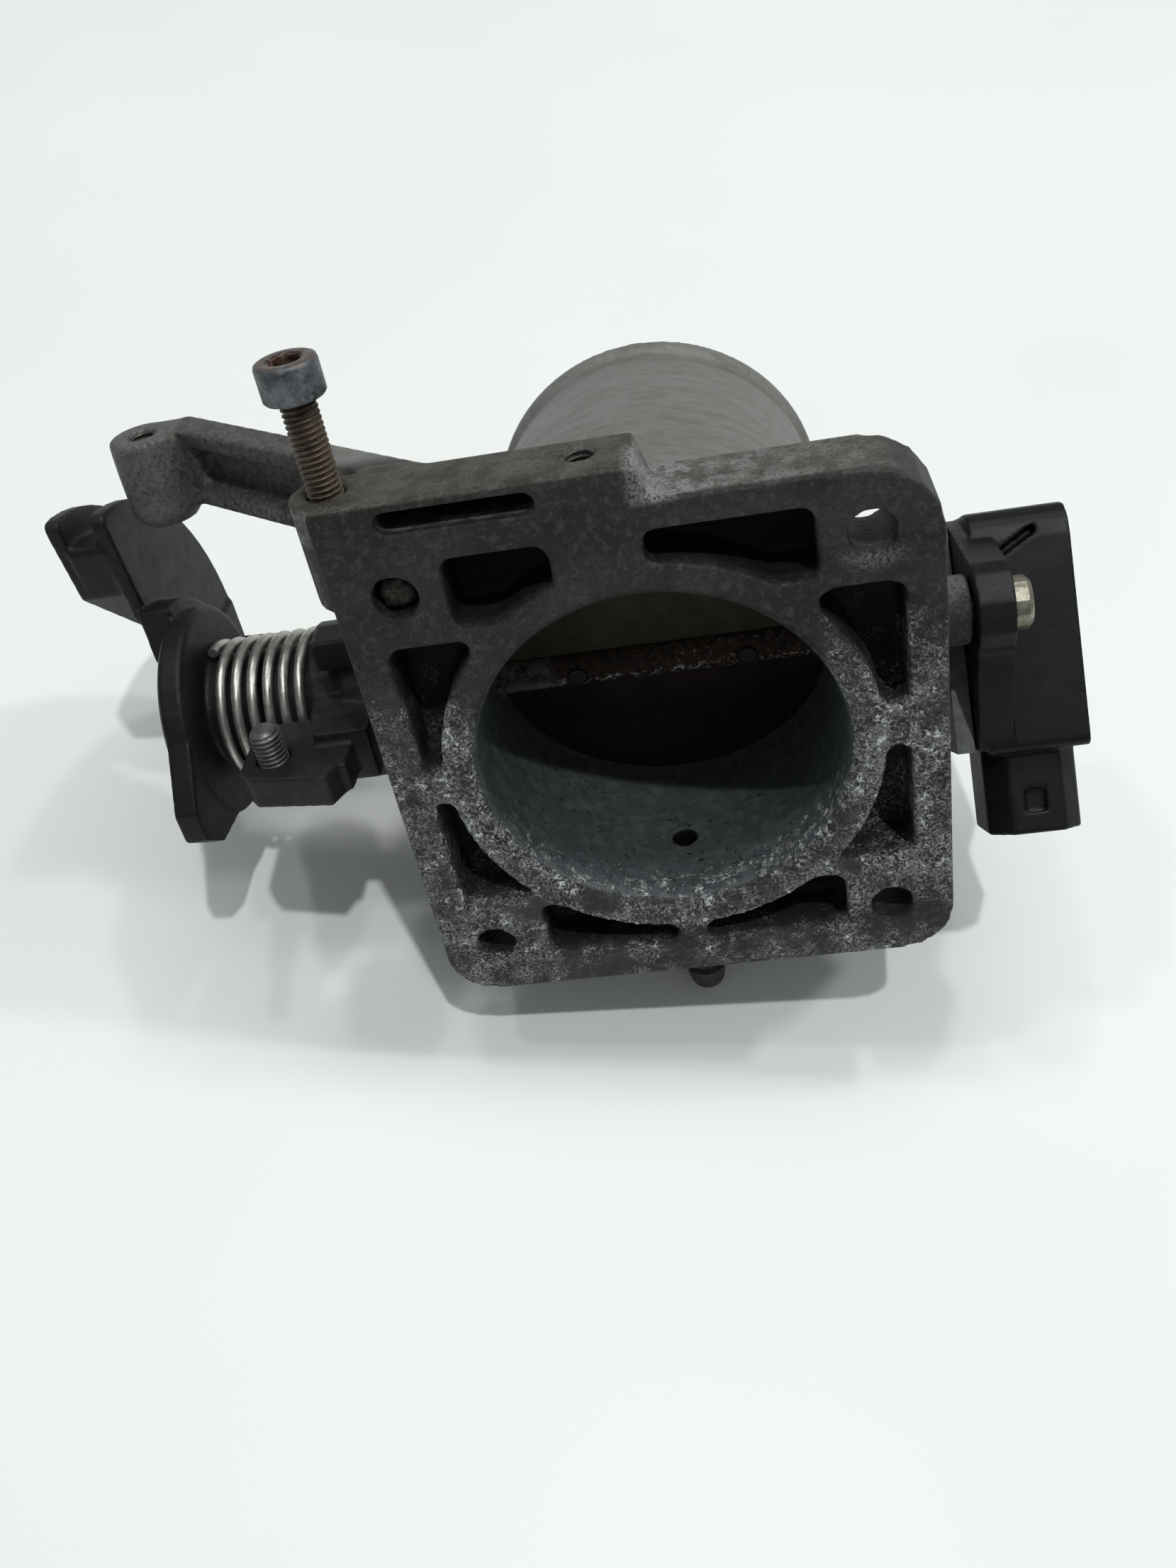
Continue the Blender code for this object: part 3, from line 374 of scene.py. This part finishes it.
def crust_mask(g, m, cover):
    """The crust's thin wandering lines and specks, denser where the cover is higher."""
    lines = g.noise(1.15, 5.0, 0.66, 1.2)
    ridge = g.minus(1.0, g.times(g.absolute(g.minus(lines, 0.5)), 2.0))
    lines = g.ramp(g.plus(ridge, g.times(cover, 0.16)), 0.975, 1.03)
    lines = g.times(lines, g.ramp(cover, 0.04, 0.40))
    specks = g.ramp(g.plus(m.speck, g.times(cover, 0.10)), 0.625, 0.70)
    return g.larger(lines, g.times(specks, 0.8))


def barrel_look(g, m):
    along = g.node("ShaderNodeCombineXYZ", X=g.times(m.x, 0.35), Y=g.times(m.y, 1.8),
                   Z=g.times(m.z, 0.35)).outputs[0]
    smear = g.times(g.patches(0.40, 0.62, 4.0, 8.0, 0.68, 0.2, along), 0.6)
    tone = g.mix(m.streak, (0.155, 0.156, 0.145), (0.200, 0.202, 0.190))
    return m.barrel, g.mix(smear, tone, (0.235, 0.238, 0.228))


def sensor_boss_look(g, m):
    mask = g.times(g.span(m.x, 41.0, 42.0), g.span(m.y, 10.0, 13.0))
    return mask, g.mix(m.streak, (0.085, 0.085, 0.080), (0.16, 0.16, 0.152))


def arm_look(g, m):
    mask = g.times(g.span(m.x, -41.5, -43.0), g.span(m.z, 28, 32))
    grain = g.patches(0.38, 0.62, 1.1, 8.0, 0.76, 0.4)
    tone = g.mix(grain, (0.040, 0.037, 0.033), (0.105, 0.104, 0.098))
    rib = g.times(g.span(m.z, 37.5, 36.0), g.patches(0.44, 0.60, 0.8, 7.0, 0.72), 0.8)
    return mask, g.mix(rib, tone, (0.19, 0.19, 0.185))


def arm_boss_look(g, m):
    mask = g.times(g.span(m.x, -69.5, -71.0), g.patches(0.34, 0.64, 0.7, 7.0, 0.74))
    return mask, (0.150, 0.150, 0.142)


def bore_look(g, m):
    grain = g.patches(0.42, 0.7, 2.2, 5.0, 0.6)
    tone = g.mix(grain, (0.088, 0.100, 0.106), (0.135, 0.150, 0.156))
    haze = g.times(g.span(m.y, 11, 2), g.span(m.z, -12, -22),
                   g.patches(0.40, 0.60, 2.8, 6.0, 0.66))
    tone = g.mix(haze, tone, (0.175, 0.185, 0.205))
    return m.in_bore, g.mix(m.pits, tone, (0.022, 0.022, 0.022))


def flange_top_look(g, m):
    mask = g.times(g.span(m.z, 40.2, 41.2), g.span(m.y, 13.5, 12), g.span(m.y, 0.6, 1.6))
    grain = g.patches(0.40, 0.62, 3.5, 7.0, 0.66)
    tone = g.mix(grain, (0.085, 0.080, 0.070), (0.165, 0.162, 0.150))
    pale = g.times(g.span(m.x, 30, 6), g.patches(0.47, 0.58, 3.8, 6.0, 0.66))
    return mask, g.mix(pale, tone, (0.25, 0.255, 0.255))


def ledge_look(g, m):
    mask = g.times(g.span(m.z, 45.9, 46.3), g.span(m.y, 13.5, 12))
    grain = g.patches(0.38, 0.64, 4.0, 7.0, 0.66)
    return mask, g.mix(grain, (0.046, 0.041, 0.033), (0.100, 0.095, 0.082))


def pocket_shade_look(g, m):
    """Painted shade inside the flange's pockets, whose roof is higher under the ledge."""
    roof = g.span(m.x, 2.8, 1.6, 39.6 * MM, 45.2 * MM)
    mask = g.times(g.span(m.y, 1.5, 4), g.span(m.y, 11.6, 10.4), g.span(m.radius, 30, 31),
                   g.span(g.absolute(m.x), 37.6, 37.0), g.span(g.minus(roof, m.z), 0, 1.0),
                   g.span(m.z, -40.6, -39.8), g.minus(1.0, m.bolt_hole), 0.72)
    # Painted shade: the pockets' hollows are painted near black
    return mask, (0.012, 0.013, 0.014)


def bolt_hole_look(g, m):
    marks = g.times(m.rings, g.ramp(m.fine, 0.36, 0.56))
    return m.bolt_hole, g.mix(marks, (0.085, 0.082, 0.074), (0.15, 0.146, 0.135))


def hole_rim_look(g, m):
    mask = g.times(g.span(m.hole_radius, 6.2, 4.2), g.span(m.hole_z, -1.5, -3.5),
                   m.on_face, g.ramp(m.fine, 0.40, 0.58), 0.7)
    return mask, (0.19, 0.20, 0.20)


def ledge_step_look(g, m):
    mask = g.times(g.span(m.x, 9, 5), g.span(m.x, 0.5, 2.5), g.span(m.z, 40.5, 41.5),
                   g.ramp(m.fine, 0.36, 0.56), g.span(m.y, 9, 5, 0.0, 0.6))
    return mask, (0.33, 0.34, 0.34)


# Laid over the bare face in this order, so a later look covers an earlier one
CAST_LOOKS = (barrel_look, sensor_boss_look, arm_look, arm_boss_look, bore_look,
              flange_top_look, ledge_look, pocket_shade_look, bolt_hole_look, hole_rim_look,
              ledge_step_look)


def bare_metal_and_shade(g, m):
    """The metal's colour without its crust, region by region, with painted shade inside the flange's pockets."""
    colour = g.mix(g.patches(0.36, 0.66, 14.0, 4.0, 0.5),
                   (0.022, 0.021, 0.018), (0.046, 0.046, 0.042))
    stain = g.times(g.patches(0.47, 0.64, 1.5, 8.0, 0.74, 0.4), 0.7)
    colour = g.mix(stain, colour, (0.078, 0.088, 0.088))
    for look in CAST_LOOKS:
        mask, tone = look(g, m)
        colour = g.mix(mask, colour, tone)
    return colour


def cast_colour(g, m, cover, crust):
    tone = g.mix(g.patches(0.38, 0.66, 0.45, 5.0, 0.7),
                 (0.105, 0.109, 0.110), (0.43, 0.44, 0.445))
    bright = g.times(g.ramp(cover, 0.34, 0.76), g.patches(0.53, 0.60, 1.6, 7.0, 0.72, 0.5))
    tone = g.mix(bright, tone, (0.80, 0.815, 0.83))
    colour = g.mix(crust, bare_metal_and_shade(g, m), tone)
    smooth = g.larger(m.in_bore, g.times(m.barrel, 0.8))
    shade = g.times(g.ramp(m.fine, 0.52, 0.40, 0.0, 0.60), g.minus(1.0, smooth))
    colour = g.mix(shade, colour, (0.016, 0.015, 0.013))
    # Painted shade: the walls of the purge port's passage in the bore floor are painted near black
    port = g.reach(m.x, g.minus(m.y, PORT_Y * MM))
    port = g.times(g.span(port, 3.4, 3.0), g.span(m.z, -27.45, -27.9))
    return g.mix(port, colour, (0.006, 0.006, 0.006))


def cast_normal(g, m, crust):
    height = g.plus(g.times(m.speck, 0.6), g.times(crust, 0.30))
    height = g.minus(height, g.times(m.pits, m.in_bore, 0.8))
    rough = g.times(g.larger(crust, m.pits), 0.6)
    smooth = g.times(m.in_bore, g.minus(0.75, rough))
    height = g.times(height, g.minus(1.0, smooth))
    normal = g.bump(height, 0.9, 0.34)
    normal = g.bump(g.noise(0.3, 3.0, 0.6), 0.35, 0.06, normal)
    return g.bump(g.times(m.rings, m.bolt_hole), 0.15, 0.10, normal)


def cast_material():
    """Weathered cast aluminium: brown-grey, with a fine pale crust low on the flange, and painted shade in the
    flange's pockets and the purge port.
    """
    g = Graph("cast_aluminium")
    m = CastMasks(g)
    cover = crust_cover(g, m)
    crust = crust_mask(g, m, cover)
    roughness = g.plus(g.times(crust, 0.22), g.times(m.fine, 0.25), 0.42)
    metallic = g.minus(0.35, g.times(crust, 0.3))
    return g.finish(cast_colour(g, m, cover, crust), roughness, metallic,
                    cast_normal(g, m, crust), 0.35)


# The other materials

def plastic_material(name, dark, light, roughness):
    """Black moulded plastic with dust in wide patches and a few pale flecks."""
    g = Graph(name)
    colour = g.mix(g.patches(0.42, 0.72, 7.0, 5.0, 0.62), dark, light)
    fleck = g.times(g.patches(0.68, 0.76, 0.7, 4.0, 0.6), 0.35)
    colour = g.mix(fleck, colour, (0.11, 0.11, 0.105))
    rough = g.plus(g.times(g.noise(3.0, 4.0, 0.6), 0.22), roughness - 0.11)
    normal = g.bump(g.noise(0.35, 3.0, 0.55), 0.30, 0.05)
    normal = g.bump(g.noise(5.0, 3.0, 0.5), 0.35, 0.12, normal)
    return g.finish(colour, rough, 0.0, normal, 0.24)


def steel_material(name, bright, dull, stain, stain_at, roughness, metallic=0.9, grain=0.4):
    """Metal with patches of stain; a lower stain_at gives more of it."""
    g = Graph(name)
    colour = g.mix(g.patches(0.38, 0.66, 1.6, 5.0, 0.6), bright, dull)
    patch = g.patches(stain_at, stain_at + 0.10, grain, 5.0, 0.68)
    colour = g.mix(patch, colour, stain)
    rough = g.plus(g.times(patch, 0.35), roughness)
    metal = g.math("SUBTRACT", metallic, g.times(patch, 0.6), clamp=True)
    normal = g.bump(g.noise(0.28, 4.0, 0.65), 0.35, 0.05)
    return g.finish(colour, rough, metal, normal)


def shaft_material():
    """Dark rusty shaft, with bright chips along its lower edge and a cleaner left end."""
    g = Graph("shaft_rust")
    x, _, z = g.axes()
    colour = g.mix(g.patches(0.38, 0.64, 1.2, 7.0, 0.7),
                   (0.009, 0.006, 0.005), (0.046, 0.025, 0.017))
    scab = g.times(g.patches(0.56, 0.62, 1.0, 7.0, 0.72, 0.5), g.span(x, -9, 6))
    colour = g.mix(scab, colour, (0.16, 0.12, 0.10))
    edge = g.times(g.span(z, -0.2, -1.6), g.patches(0.42, 0.54, 2.6, 3.0, 0.5))
    chips = g.times(g.patches(0.53, 0.58, 0.9, 6.0, 0.7, 0.6), edge)
    colour = g.mix(chips, colour, (0.62, 0.59, 0.55))
    clean = g.times(g.span(x, -17.0, -18.5), g.patches(0.40, 0.56, 1.3, 5.0, 0.65))
    clean_tone = g.mix(g.span(z, -0.5, -2.4), (0.13, 0.11, 0.10), (0.32, 0.32, 0.31))
    colour = g.mix(clean, colour, clean_tone)
    metal = g.times(g.math("ADD", chips, clean, clamp=True), 0.5)
    normal = g.bump(g.noise(0.8, 7.0, 0.74), 1.0, 0.35)
    return g.finish(colour, 0.6, metal, normal, 0.3)


def plate_material():
    """The throttle plate: dark brown varnish, lighter above the shaft."""
    g = Graph("plate_brown")
    _, _, z = g.axes()
    film = g.patches(0.36, 0.66, 5.0, 5.0, 0.6)
    lower = g.mix(film, (0.016, 0.0095, 0.007), (0.026, 0.016, 0.012))
    higher = g.mix(film, (0.030, 0.023, 0.015), (0.044, 0.036, 0.024))
    colour = g.mix(g.span(z, 0, 3), lower, higher)
    normal = g.bump(g.noise(0.8, 5.0, 0.6), 0.35, 0.06)
    return g.finish(colour, 0.62, 0.1, normal, 0.25)


def table_material():
    """White table top with a faint change of tone and a few grey specks."""
    g = Graph("table_white")
    tone = g.mix(g.patches(0.3, 0.7, 140.0, 3.0, 0.5), (0.80, 0.82, 0.808), (0.83, 0.85, 0.838))
    speck = g.ramp(g.noise(1.6, 4.0, 0.7), 0.76, 0.80, 0.0, 0.10)
    colour = g.mix(speck, tone, (0.45, 0.45, 0.44))
    normal = g.bump(g.noise(0.9, 3.0, 0.5), 0.12, 0.05)
    return g.finish(colour, 0.42, 0.0, normal, 0.35)


def simple_material(name, dark, light, roughness, metallic, size=1.5):
    """Two tones in patches of about size millimetres."""
    g = Graph(name)
    colour = g.mix(g.patches(0.36, 0.66, size, 5.0, 0.6), dark, light)
    rough = g.plus(g.times(g.noise(size * 0.5, 4.0, 0.6), 0.2), roughness - 0.1)
    normal = g.bump(g.noise(0.3, 4.0, 0.6), 0.3, 0.05)
    return g.finish(colour, rough, metallic, normal)


def head_material():
    """Dark plated socket head, rusty inside the socket and in patches on top."""
    g = Graph("screw_head")
    x, y, z = g.axes()
    reach = g.reach(g.minus(x, LEDGE_SCREW[0] * MM), g.minus(y, LEDGE_SCREW[1] * MM))
    colour = g.mix(g.patches(0.38, 0.64, 1.8, 6.0, 0.66),
                   (0.060, 0.066, 0.074), (0.165, 0.175, 0.19))
    crust = g.patches(0.54, 0.64, 0.6, 6.0, 0.7)
    low = g.span(z, 61.5, 59.8, 0.25, 1.0)
    colour = g.mix(g.times(crust, low), colour, (0.27, 0.275, 0.28))
    top = g.times(g.span(z, 64.2, 64.6), g.patches(0.42, 0.58, 0.9, 6.0, 0.68))
    colour = g.mix(top, colour, (0.135, 0.095, 0.075))
    inside = g.times(g.span(reach, 2.75, 2.35), g.span(z, 61.0, 61.4))
    rust = g.mix(g.patches(0.40, 0.62, 0.7, 6.0, 0.7), (0.020, 0.014, 0.012), (0.13, 0.075, 0.05))
    colour = g.mix(inside, colour, rust)
    rough = g.plus(g.times(crust, 0.2), 0.42)
    normal = g.bump(g.noise(0.5, 6.0, 0.68), 0.5, 0.10)
    return g.finish(colour, rough, 0.45, normal)


# Mesh helpers

def settle(obj, body, material, replaced=()):
    """Puts a finished piece on its body with its material."""
    obj.data.materials.clear()
    obj.data.materials.append(material)
    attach(obj, body)
    if replaced:
        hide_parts(*replaced)


def linked(name, mesh):
    """A new object in the scene."""
    obj = bpy.data.objects.new(name, mesh)
    bpy.context.scene.collection.objects.link(obj)
    return obj


def welded_copy(node, name):
    """A closed copy of a CAD node's mesh, in the bore frame."""
    mesh = frame["nodes"][node].data.copy()
    shape = bmesh.new()
    shape.from_mesh(mesh)
    bmesh.ops.remove_doubles(shape, verts=shape.verts, dist=2e-6)
    bmesh.ops.transform(shape, matrix=TO_BORE, verts=shape.verts)
    shape.to_mesh(mesh)
    shape.free()
    return linked(name, mesh)


def apply_modifiers(obj):
    """Replaces the object's mesh by its evaluated one and drops the modifiers."""
    bpy.context.view_layer.update()
    graph = bpy.context.evaluated_depsgraph_get()
    mesh = bpy.data.meshes.new_from_object(obj.evaluated_get(graph))
    obj.modifiers.clear()
    obj.data = mesh


def grid_object(name, rows):
    """A closed skin over rows of points, each row a loop, with both ends filled."""
    shape = bmesh.new()
    loops = [[shape.verts.new(point) for point in row] for row in rows]
    count = len(loops[0])
    for one, other in zip(loops, loops[1:]):
        for i in range(count):
            j = (i + 1) % count
            shape.faces.new([one[i], one[j], other[j], other[i]])
    shape.faces.new(loops[0])
    shape.faces.new(loops[-1])
    bmesh.ops.recalc_face_normals(shape, faces=shape.faces)
    mesh = bpy.data.meshes.new(name)
    shape.to_mesh(mesh)
    shape.free()
    mesh.shade_smooth()
    mesh.set_sharp_from_angle(angle=math.radians(50))
    return linked(name, mesh)


def sensor_point(x, y, z):
    """A point given in the sensor's own turned frame, in the bore frame, in metres."""
    cos, sin = math.cos(SENSOR_TURN), math.sin(SENSOR_TURN)
    return Vector((x, SHAFT_Y + y * cos - z * sin, y * sin + z * cos)) * MM


def notch_cutter():
    """The dark slit between the sensor's front ear and the top of its case, for a Boolean."""
    outline = ((52.3, 6.2), (53.3, 7.2), (58.4, 10.2), (58.4, 11.7), (53.2, 8.6), (52.0, 7.6))
    rows = [[sensor_point(x, y, z) for x, z in outline] for y in (-16.0, -11.2)]
    return grid_object("notch_cutter", rows)


def soften(node, name, voxel, rounds, body, material, cutter=None):
    """A remeshed copy of a node with every edge rounded, as casting and moulding leave it."""
    obj = welded_copy(node, name)
    if cutter is not None:
        cut = obj.modifiers.new("notch", "BOOLEAN")
        cut.operation = "DIFFERENCE"
        cut.solver = "EXACT"
        cut.object = cutter
    remesh = obj.modifiers.new("voxels", "REMESH")
    remesh.mode = "VOXEL"
    remesh.voxel_size = voxel * MM
    remesh.use_smooth_shade = True
    smooth = obj.modifiers.new("round", "SMOOTH")
    smooth.factor = 0.5
    smooth.iterations = rounds
    apply_modifiers(obj)
    if cutter is not None:
        bpy.data.objects.remove(cutter)
    obj.data.transform(BORE)
    obj.data.shade_smooth()
    settle(obj, body, material, (node,))


def thread(name, centre, low, high, outer, inner):
    """A threaded rod along bore Z with a true helix, tapering in at both ends."""
    around = 36
    steps_a_turn = 10
    count = int((high - low) / PITCH * steps_a_turn)
    rows = []
    for k in range(count + 1):
        z = low + (high - low) * k / count
        taper = inner - 0.25 + min(z - low, high - z) * 0.9
        row = []
        for i in range(around):
            phase = ((z - low) / PITCH - i / around) % 1.0
            ridge = min(1.0, max(0.0, 1.25 - abs(phase - 0.5) * 3.4))
            radius = min(inner + (outer - inner) * ridge, taper)
            row.append(place_round(centre, radius, FULL_TURN * i / around, z))
        rows.append(row)
    return grid_object(name, rows)


# Pieces

def make_spring(material):
    """The return spring: one wire in close coils, wound round the shaft."""
    around = 36
    wire_sides = 12
    steps = int(SPRING_TURNS * around)
    rows = []
    for k in range(steps + 1):
        turn = FULL_TURN * k / around
        x = SPRING_START + (SPRING_END - SPRING_START) * k / steps
        row = []
        for m in range(wire_sides):
            a = FULL_TURN * m / wire_sides
            reach = SPRING_RADIUS + WIRE_RADIUS * math.cos(a)
            row.append(place(x + WIRE_RADIUS * math.sin(a), SHAFT_Y + reach * math.cos(turn),
                             reach * math.sin(turn)))
        rows.append(row)
    spring = grid_object("return_spring_wire", rows)
    spring.data.materials.append(material)
    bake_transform(spring)
    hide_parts("return_spring")


def make_bracket_screw(material):
    """The cap screw standing in the ledge, with its hexagon socket."""
    rod = thread("bracket_screw_thread", LEDGE_SCREW, 37.6, 60.2, 2.5, 2.03)
    settle(rod, "housing", material, ("bracket_screw",))
    around = 72
    side = FULL_TURN / 6
    # Radius, height, and whether the row is a hexagon, from the underside into the socket
    profile = (
        (0.05, 59.7, False), (2.6, 59.7, False), (4.0, 59.7, False), (4.25, 60.0, False),
        (4.25, 64.0, False), (4.1, 64.5, False), (3.7, 64.7, False), (2.55, 64.7, False),
        (2.05, 64.4, True), (2.02, 62.0, True), (0.9, 61.5, False), (0.05, 61.4, False),
    )
    rows = []
    for radius, z, hexagon in profile:
        row = []
        for i in range(around):
            turn = FULL_TURN * i / around
            reach = radius / math.cos((turn + 0.3) % side - side / 2) if hexagon else radius
            row.append(place_round(LEDGE_SCREW, reach, turn, z))
        rows.append(row)
    head = grid_object("bracket_screw_head", rows)
    settle(head, "housing", head_material())


def make_tapped_thread(name, centre, top, material):
    """The thread crests inside a tapped hole along bore Z."""
    around = 32
    crest_sides = 6
    rows = []
    for k in range(TAPPED_TURNS * around + 1):
        turn = FULL_TURN * k / around
        z = top - PITCH * k / around
        row = []
        for m in range(crest_sides):
            a = FULL_TURN * m / crest_sides
            reach = TAPPED_RADIUS + TAPPED_CREST * math.cos(a)
            row.append(place_round(centre, reach, turn, z + TAPPED_CREST * math.sin(a)))
        rows.append(row)
    settle(grid_object(name, rows), "housing", material)


def make_hole_lump(material):
    """The rough cast lump left in the blind bolt hole, top left."""
    around = 40
    widest = 2.9
    # Radius and depth along the bore, from the hole's bottom to the lump's tip
    profile = ((0.1, 5.4), (2.7, 5.3), (2.85, 3.6), (2.6, 2.5), (1.9, 1.8), (0.9, 1.5),
               (0.1, 1.45))
    rows = []
    for radius, y in profile:
        lean = 0.35 * (1 - radius / widest)
        dent = 0.12 if radius < 2.6 else 0.0
        row = []
        for i in range(around):
            turn = FULL_TURN * i / around
            uneven = 1 + 0.07 * math.sin(3 * turn + y) + 0.05 * math.sin(7 * turn + 2 * y)
            reach = min(widest, radius * uneven)
            row.append(place(-BOLT_X + reach * math.cos(turn) - lean,
                             y - dent * math.sin(5 * turn),
                             BOLT_Z + reach * math.sin(turn) + lean))
        rows.append(row)
    settle(grid_object("blind_hole_lump", rows), "housing", material)


def make_idle_screw(material):
    rod = thread("idle_screw_thread", IDLE_SCREW, -3.9, 9.4, 2.48, 2.0)
    settle(rod, "idle_screw", material, ("idle_stop_screw",))


def make_moulded_pieces(sensor_black):
    """The casting and the three large mouldings, each with its edges rounded."""
    block_black = plastic_material("block_plastic", (0.0105, 0.0118, 0.0112),
                                   (0.0250, 0.0270, 0.0255), 0.50)
    black = plastic_material("black_plastic", (0.0056, 0.0064, 0.0060),
                             (0.0130, 0.0144, 0.0135), 0.50)
    soften("throttle_housing", "housing_casting", 0.55, 4, "housing",
           cast_material())
    soften("stop_block", "stop_block_moulding", 0.35, 3, "housing",
           block_black)
    soften("quadrant", "quadrant_moulding", 0.35, 3, "throttle", black)
    soften("tps_housing", "sensor_moulding", 0.35, 3, "housing",
           sensor_black, notch_cutter())


def make_threaded_pieces():
    """The spring, the two screws, and what shows inside the open holes."""
    make_spring(steel_material("spring_steel", (0.50, 0.49, 0.465), (0.35, 0.34, 0.32),
                               (0.05, 0.04, 0.033), 0.61, 0.36))
    make_bracket_screw(steel_material("rusty_thread", (0.125, 0.092, 0.066),
                                      (0.070, 0.050, 0.037), (0.20, 0.165, 0.13),
                                      0.60, 0.50, 0.45))
    make_idle_screw(steel_material("idle_screw", (0.19, 0.185, 0.18), (0.105, 0.10, 0.095),
                                   (0.035, 0.03, 0.027), 0.56, 0.44, 0.7))
    tapped = simple_material("tapped_thread", (0.035, 0.033, 0.029), (0.12, 0.118, 0.108),
                             0.5, 0.5)
    make_tapped_thread("ledge_hole_thread", LEDGE_HOLE, 46.1, tapped)
    make_tapped_thread("arm_hole_thread", ARM_HOLE, 46.0, tapped)
    make_hole_lump(simple_material("cast_lump", (0.014, 0.012, 0.010),
                                   (0.072, 0.062, 0.050), 0.6, 0.2, 1.2))


def finish_cad_nodes(sensor_black):
    """Materials for the CAD nodes that stay as they are."""
    zinc = steel_material("zinc_screw", (0.34, 0.325, 0.27), (0.20, 0.19, 0.155),
                          (0.09, 0.08, 0.065), 0.60, 0.44)
    dark_rust = simple_material("dark_rust", (0.008, 0.0055, 0.0045), (0.034, 0.021, 0.015),
                                0.6, 0.2, 1.0)
    brown = simple_material("nipple_brown", (0.020, 0.018, 0.015), (0.045, 0.040, 0.034),
                            0.6, 0.2)
    bronze = simple_material("bush_bronze", (0.30, 0.20, 0.10), (0.42, 0.29, 0.15), 0.4, 1.0)
    rubber = simple_material("seal_rubber", (0.012, 0.012, 0.012), (0.022, 0.022, 0.022),
                             0.8, 0.0)
    spacer = simple_material("spacer_grey", (0.095, 0.105, 0.095), (0.15, 0.16, 0.145),
                             0.6, 0.0)
    rotor = simple_material("rotor_grey", (0.10, 0.11, 0.10), (0.14, 0.15, 0.14), 0.6, 0.0)
    board = simple_material("board_green", (0.03, 0.11, 0.05), (0.05, 0.16, 0.08), 0.5, 0.0)
    looks = (
        (shaft_material(), ("throttle_shaft",)),
        (plate_material(), ("throttle_plate",)),
        (dark_rust, ("plate_screw_1", "plate_screw_2")),
        (brown, ("breather_nipple", "purge_nipple")),
        (spacer, ("tps_spacer_plate",)),
        (sensor_black, ("tps_cover",)),
        (zinc, ("tps_screw_front", "tps_screw_rear", "quadrant_washer", "quadrant_nut",
                "tps_pin_1", "tps_pin_2", "tps_pin_3")),
        (bronze, ("left_shaft_bearing", "right_shaft_bearing")),
        (rubber, ("left_shaft_seal", "right_shaft_seal", "tps_seal")),
        (rotor, ("tps_rotor",)),
        (board, ("tps_track_board",)),
    )
    for material, nodes in looks:
        for node in nodes:
            mesh = frame["nodes"][node].data
            mesh.materials.clear()
            mesh.materials.append(material)


def main():
    add_camera()
    add_room()
    for lamp in LAMPS:
        add_lamp(*lamp)
    add_table()
    sensor_black = plastic_material("sensor_plastic", (0.0038, 0.0048, 0.005),
                                    (0.0085, 0.0102, 0.0102), 0.48)
    make_moulded_pieces(sensor_black)
    make_threaded_pieces()
    finish_cad_nodes(sensor_black)


main()
